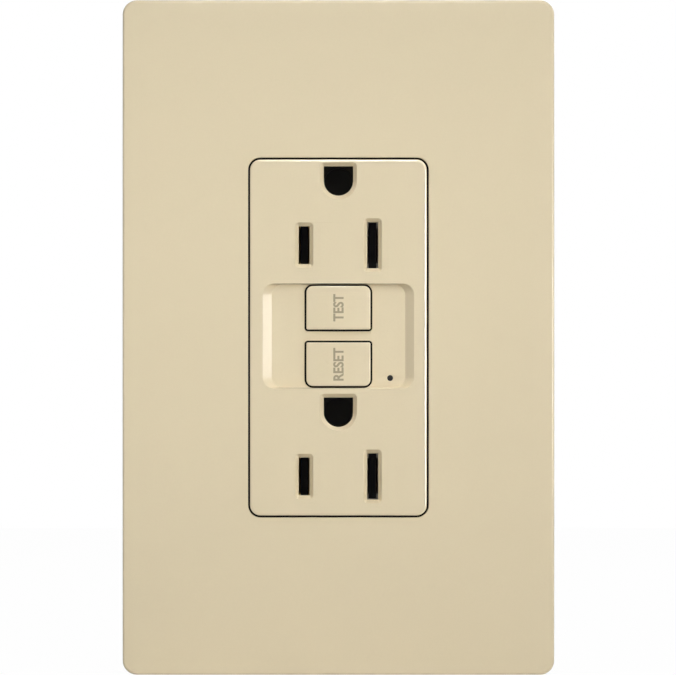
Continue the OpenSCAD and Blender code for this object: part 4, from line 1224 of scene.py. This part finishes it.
class OUTLET_OT_mouldings(Operator):
    """Gives the frame, carrier, housing and small mouldings their soft edges and finish"""
    bl_idname = "outlet.mouldings"
    bl_label = "Mouldings"

    def execute(self, context):
        soft_copies(context, MOULDINGS)
        return {"FINISHED"}


class OUTLET_OT_stampings(Operator):
    """Gives the strap, contacts, terminals and moving metal their soft edges and finish"""
    bl_idname = "outlet.stampings"
    bl_label = "Stampings"

    def execute(self, context):
        soft_copies(context, STAMPINGS)
        return {"FINISHED"}


class OUTLET_OT_board(Operator):
    """Gives the circuit board and its components their soft edges and finish"""
    bl_idname = "outlet.board"
    bl_label = "Board"

    def execute(self, context):
        soft_copies(context, COMPONENTS)
        return {"FINISHED"}


DEVICE_HEAD = 3.1 * MM
DEVICE_CREST = 1.75 * MM
PLATE_HEAD = 2.9 * MM
PLATE_CREST = 1.7 * MM
PLATE_HEAD_DEPTH = 1.2 * MM
ASSEMBLY_HEAD = 2.7 * MM
ASSEMBLY_CREST = 1.45 * MM
ASSEMBLY_HEAD_DEPTH = 1.8 * MM


class OUTLET_OT_screws(Operator):
    """Builds the screws with their heads and cut threads"""
    bl_idname = "outlet.screws"
    bl_label = "Screws"

    def execute(self, context):
        sizes = context.scene.outlet_metal
        plate_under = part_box("wallplate_screws")[0].y + PLATE_HEAD_DEPTH
        assembly_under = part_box("assembly_screws")[1].y - ASSEMBLY_HEAD_DEPTH
        self.straight_screws("mounting_screws", 0.0, -1, DEVICE_HEAD, DEVICE_CREST, (0,))
        self.straight_screws("wallplate_screws", plate_under, -1, PLATE_HEAD, PLATE_CREST, (0,))
        self.straight_screws("assembly_screws", assembly_under, 1, ASSEMBLY_HEAD, ASSEMBLY_CREST, SIDES)
        for node in ("load_hot_screw", "load_neutral_screw", "line_hot_screw", "line_neutral_screw"):
            self.side_screw(node, sizes.terminal_under, sizes.terminal_crest)
        self.side_screw("ground_screw", sizes.ground_under, sizes.terminal_crest)
        return {"FINISHED"}

    def straight_screws(self, node, under, facing, head, crest, columns):
        """Screws along Y, with heads of a radius on the facing side of a place and a thread on the other."""
        low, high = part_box(node)
        run = (under - low.y if facing > 0 else high.y - under) + LAP
        meshes = [screw_heads(node, (0, under, 0), (0, facing, 0))]
        for right in columns:
            for up in SIDES:
                start = (right * (high.x - head), under + facing * LAP, up * (high.z - head))
                meshes.append(thread(node, start, (0, -facing, 0), run, crest))
        joined(node, meshes)

    def side_screw(self, node, under, crest):
        """One side screw with its head outwards."""
        low, high, middle = middle_of(node)
        side = 1 if high.x > -low.x else -1
        tip = low.x if side > 0 else high.x
        start = (side * (under + LAP), middle.y, middle.z)
        joined(node, [screw_heads(node, (side * under, 0, 0), (side, 0, 0)),
                      thread(node, start, (-side, 0, 0), under - abs(tip) + LAP, crest)])


class OUTLET_OT_springs(Operator):
    """Winds the springs of the buttons and the plunger"""
    bl_idname = "outlet.springs"
    bl_label = "Springs"

    def execute(self, context):
        sizes = context.scene.outlet_metal
        for node, joint, stroke in (("reset_spring", "reset_press", sizes.reset_stroke),
                                    ("test_spring", "test_press", sizes.test_stroke)):
            low, high, middle = middle_of(node)
            wire = sizes.button_wire
            mesh = self.wind(node, sizes.button_coil, wire, sizes.button_turns, high.y - low.y)
            mesh.transform(Matrix.Translation((middle.x, low.y + wire, middle.z)) @ ALONG_Y)
            spring = stand_in(node, mesh)
            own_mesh(spring)
        node = "plunger_spring"
        low, high, middle = middle_of(node)
        wire = sizes.plunger_wire
        mesh = self.wind(node, sizes.plunger_coil, wire, sizes.plunger_turns, high.z - low.z)
        mesh.transform(Matrix.Translation((middle.x, middle.y, low.z + wire)))
        spring = stand_in(node, mesh)
        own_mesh(spring)
        return {"FINISHED"}

    def wind(self, node, radius, wire, turns, run):
        """One spring along Z from the middle of its first wire, over the length of its box."""
        return grown(node + "_form", node, coil_tree(), {
            "Coil radius": radius, "Wire radius": wire, "Turns": turns, "Rise": run - 2 * wire})


class OUTLET_OT_windings(Operator):
    """Winds the solenoid and the sensing rings"""
    bl_idname = "outlet.windings"
    bl_label = "Windings"

    def execute(self, context):
        sizes = context.scene.outlet_metal
        self.solenoid(sizes.winding_wire, sizes.winding_bore)
        for node in ("fault_sensing_ring", "neutral_sensing_ring"):
            self.sensing_ring(node, sizes.winding_wire, sizes)
        return {"FINISHED"}

    def solenoid(self, wire, inside):
        """Close turns of wire over a full inner layer."""
        node = "solenoid_winding"
        low, high, middle = middle_of(node)
        outside = (high.x - low.x) / 2 - wire
        tall = high.z - low.z
        rise = tall - 2 * wire
        coil = grown(node + "_turns", node, coil_tree(), {
            "Coil radius": outside, "Wire radius": wire, "Rise": rise,
            "Turns": math.floor(rise / (2 * wire))})
        coil.transform(Matrix.Translation((middle.x, middle.y, low.z + wire)))
        layer = Shell()
        layer.ring([layer.row(circle(radius, steps=36), y) for radius, y in (
            (inside, 0.0), (outside, 0.0), (outside, tall), (inside, tall))])
        core = layer.mesh(node + "_core")
        core.transform(Matrix.Translation((middle.x, middle.y, low.z)) @ ALONG_Y.inverted())
        joined(node, [coil, core])

    def sensing_ring(self, node, wire, sizes):
        """Taped core with loops of wire round it."""
        low, high, middle = middle_of(node)
        outside = (high.x - low.x) / 2
        inside = sizes.ring_bore
        loops = grown(node + "_loops", node, ring_tree(), {
            "Ring radius": (outside + inside) / 2, "Loop width": outside - inside - 2 * wire,
            "Loop depth": high.y - low.y - 2 * wire, "Loop corner": sizes.ring_edge,
            "Wire radius": wire, "Loops": sizes.ring_loops})
        loops.transform(Matrix.Translation(middle) @ ALONG_Y)
        core = Shell()
        place = (middle.x, middle.z)
        under = 1.6 * wire
        rows = []
        for radius, away, y, back in (
                (inside + under, -1, low.y + under, 1), (outside - under, 1, low.y + under, 1),
                (outside - under, 1, high.y - under, -1), (inside + under, -1, high.y - under, -1)):
            inward = quarter_round(sizes.ring_edge, 3)
            if away * back < 0:
                inward.reverse()
            rows += [core.row(circle(radius - away * inset, place, 48), y + back * drop)
                     for inset, drop in inward]
        core.ring(rows)
        joined(node, [loops, core.mesh(node + "_core")])


# Stage

WIDE = math.radians(150)
NARROW = math.radians(22)
# Setting with the power, place, sides in metres and spread
LAMPS = (
    ("key", (0.18, -0.98, 0.37), (0.5, 0.06), NARROW),
    ("right", (0.7, -0.84, 0.01), (0.14, 0.14), NARROW),
    ("left", (-0.7, -0.84, 0.01), (0.14, 0.14), NARROW),
    ("brow", (0.0, -0.86, 0.74), (0.14, 0.14), NARROW),
    ("side", (1.057, -0.303, 0.02), (0.13, 0.09), WIDE),
    ("top", (0.04, -0.42, 0.8), (0.7, 0.4), WIDE),
    ("back", (0.5, 1.0, 0.55), (0.6, 0.6), WIDE),
)


def show_white(tree):
    """1 for rays that show the background: straight from the camera, mirrored or passed through."""
    path = tree.add("ShaderNodeLightPath").outputs
    seen = tree.maths("MAXIMUM", path["Is Camera Ray"], path["Is Glossy Ray"])
    return tree.maths("MAXIMUM", seen, path["Is Transmission Ray"])


class OUTLET_OT_stage(Operator):
    """Sets the floor, the light and the camera"""
    bl_idname = "outlet.stage"
    bl_label = "Stage"

    def execute(self, context):
        scene = context.scene
        sizes = scene.outlet_stage
        scene.view_settings.view_transform = "Standard"
        self.set_world(scene, sizes)
        self.set_floor(scene, sizes)
        for setting, place, sides, spread in LAMPS:
            self.add_lamp(scene, setting, place, sides, spread)
        self.set_camera(scene, sizes)
        return {"FINISHED"}

    def set_world(self, scene, sizes):
        """White where the background shows, softer as light."""
        world = bpy.data.worlds.new("Studio")
        world.use_nodes = True
        tree = Tree(world.node_tree)
        background = world.node_tree.nodes["Background"]
        background.inputs["Color"].default_value = (1.0, 1.0, 1.0, 1.0)
        tree.feed(background.inputs["Strength"], tree.span(show_white(tree), sizes.ambient, 1.0))
        scene.world = world

    def set_floor(self, scene, sizes):
        """Pale floor that shows white and keeps a faint shadow."""
        reach = sizes.floor_reach
        level = CAD_BOX[0][2]
        mesh = bpy.data.meshes.new("floor")
        corners = [(x * reach, y * reach, level) for x, y in ((-1, -1), (1, -1), (1, 1), (-1, 1))]
        mesh.from_pydata(corners, [], [(0, 1, 2, 3)])
        floor = bpy.data.objects.new("floor", mesh)
        scene.collection.objects.link(floor)
        material, tree, shader, _ = new_surface("Pale floor")
        shader.inputs["Base Color"].default_value = (0.6, 0.6, 0.59, 1)
        shader.inputs["Roughness"].default_value = 0.7
        glow = tree.shape("ShaderNodeEmission", {"Strength": 1.0})
        shown = tree.maths("MULTIPLY", show_white(tree), sizes.floor_white)
        mix = tree.shape("ShaderNodeMixShader", {0: shown, 1: shader.outputs[0], 2: glow})
        tree.feed(material.node_tree.nodes["Material Output"].inputs["Surface"], mix)
        mesh.materials.append(material)

    def add_lamp(self, scene, setting, place, sides, spread):
        """Soft lamp that faces the place given by the aim settings."""
        sizes = scene.outlet_stage
        name = setting.capitalize() + " lamp"
        lamp = bpy.data.lights.new(name, "AREA")
        lamp.shape = "RECTANGLE"
        lamp.size, lamp.size_y = sides
        lamp.spread = spread
        lamp.energy = getattr(sizes, setting)
        thing = bpy.data.objects.new(name, lamp)
        scene.collection.objects.link(thing)
        thing.location = place
        aim = Vector((sizes.aim_x, 0.0, sizes.aim_z)) - thing.location
        thing.rotation_euler = aim.to_track_quat("-Z", "Y").to_euler()

    def set_camera(self, scene, sizes):
        """Camera straight in front, level with the middle."""
        camera = bpy.data.cameras.new("Camera")
        camera.lens = sizes.lens
        camera.sensor_width = 36.0
        camera.clip_start = 0.01
        thing = bpy.data.objects.new("Camera", camera)
        scene.collection.objects.link(thing)
        distance = sizes.view_width * camera.lens / camera.sensor_width
        thing.location = (sizes.view_x, sizes.view_plane - distance, sizes.view_z)
        thing.rotation_euler = (math.pi / 2, 0.0, 0.0)
        scene.camera = thing


BUILD_ORDER = (
    OUTLET_OT_stage,
    OUTLET_OT_cover,
    OUTLET_OT_face,
    OUTLET_OT_buttons,
    OUTLET_OT_words,
    OUTLET_OT_mouldings,
    OUTLET_OT_stampings,
    OUTLET_OT_screws,
    OUTLET_OT_springs,
    OUTLET_OT_windings,
    OUTLET_OT_board,
)


class OUTLET_PT_pieces(Panel):
    """Lists the operators and the settings of the receptacle"""
    bl_label = "Receptacle"
    bl_idname = "OUTLET_PT_pieces"
    bl_space_type = "VIEW_3D"
    bl_region_type = "UI"
    bl_category = "Receptacle"

    def draw(self, context):
        for operator in BUILD_ORDER:
            self.layout.operator(operator.bl_idname)
        for group, kind in SETTINGS.items():
            box = self.layout.box()
            box.label(text=kind.__doc__)
            for setting in kind.__annotations__:
                box.prop(getattr(context.scene, group), setting)


CLASSES = (*SETTINGS.values(), *BUILD_ORDER, OUTLET_PT_pieces)


def register():
    """Registers the classes and the scene's settings."""
    for kind in CLASSES:
        bpy.utils.register_class(kind)
    for group, kind in SETTINGS.items():
        setattr(bpy.types.Scene, group, PointerProperty(type=kind))


def unregister():
    """Takes the settings and the classes away again."""
    for group in SETTINGS:
        delattr(bpy.types.Scene, group)
    for kind in reversed(CLASSES):
        bpy.utils.unregister_class(kind)


def main():
    """Builds every piece."""
    register()
    for operator in BUILD_ORDER:
        group, action = operator.bl_idname.split(".")
        getattr(getattr(bpy.ops, group), action)()


if __name__ == "__main__":
    main()
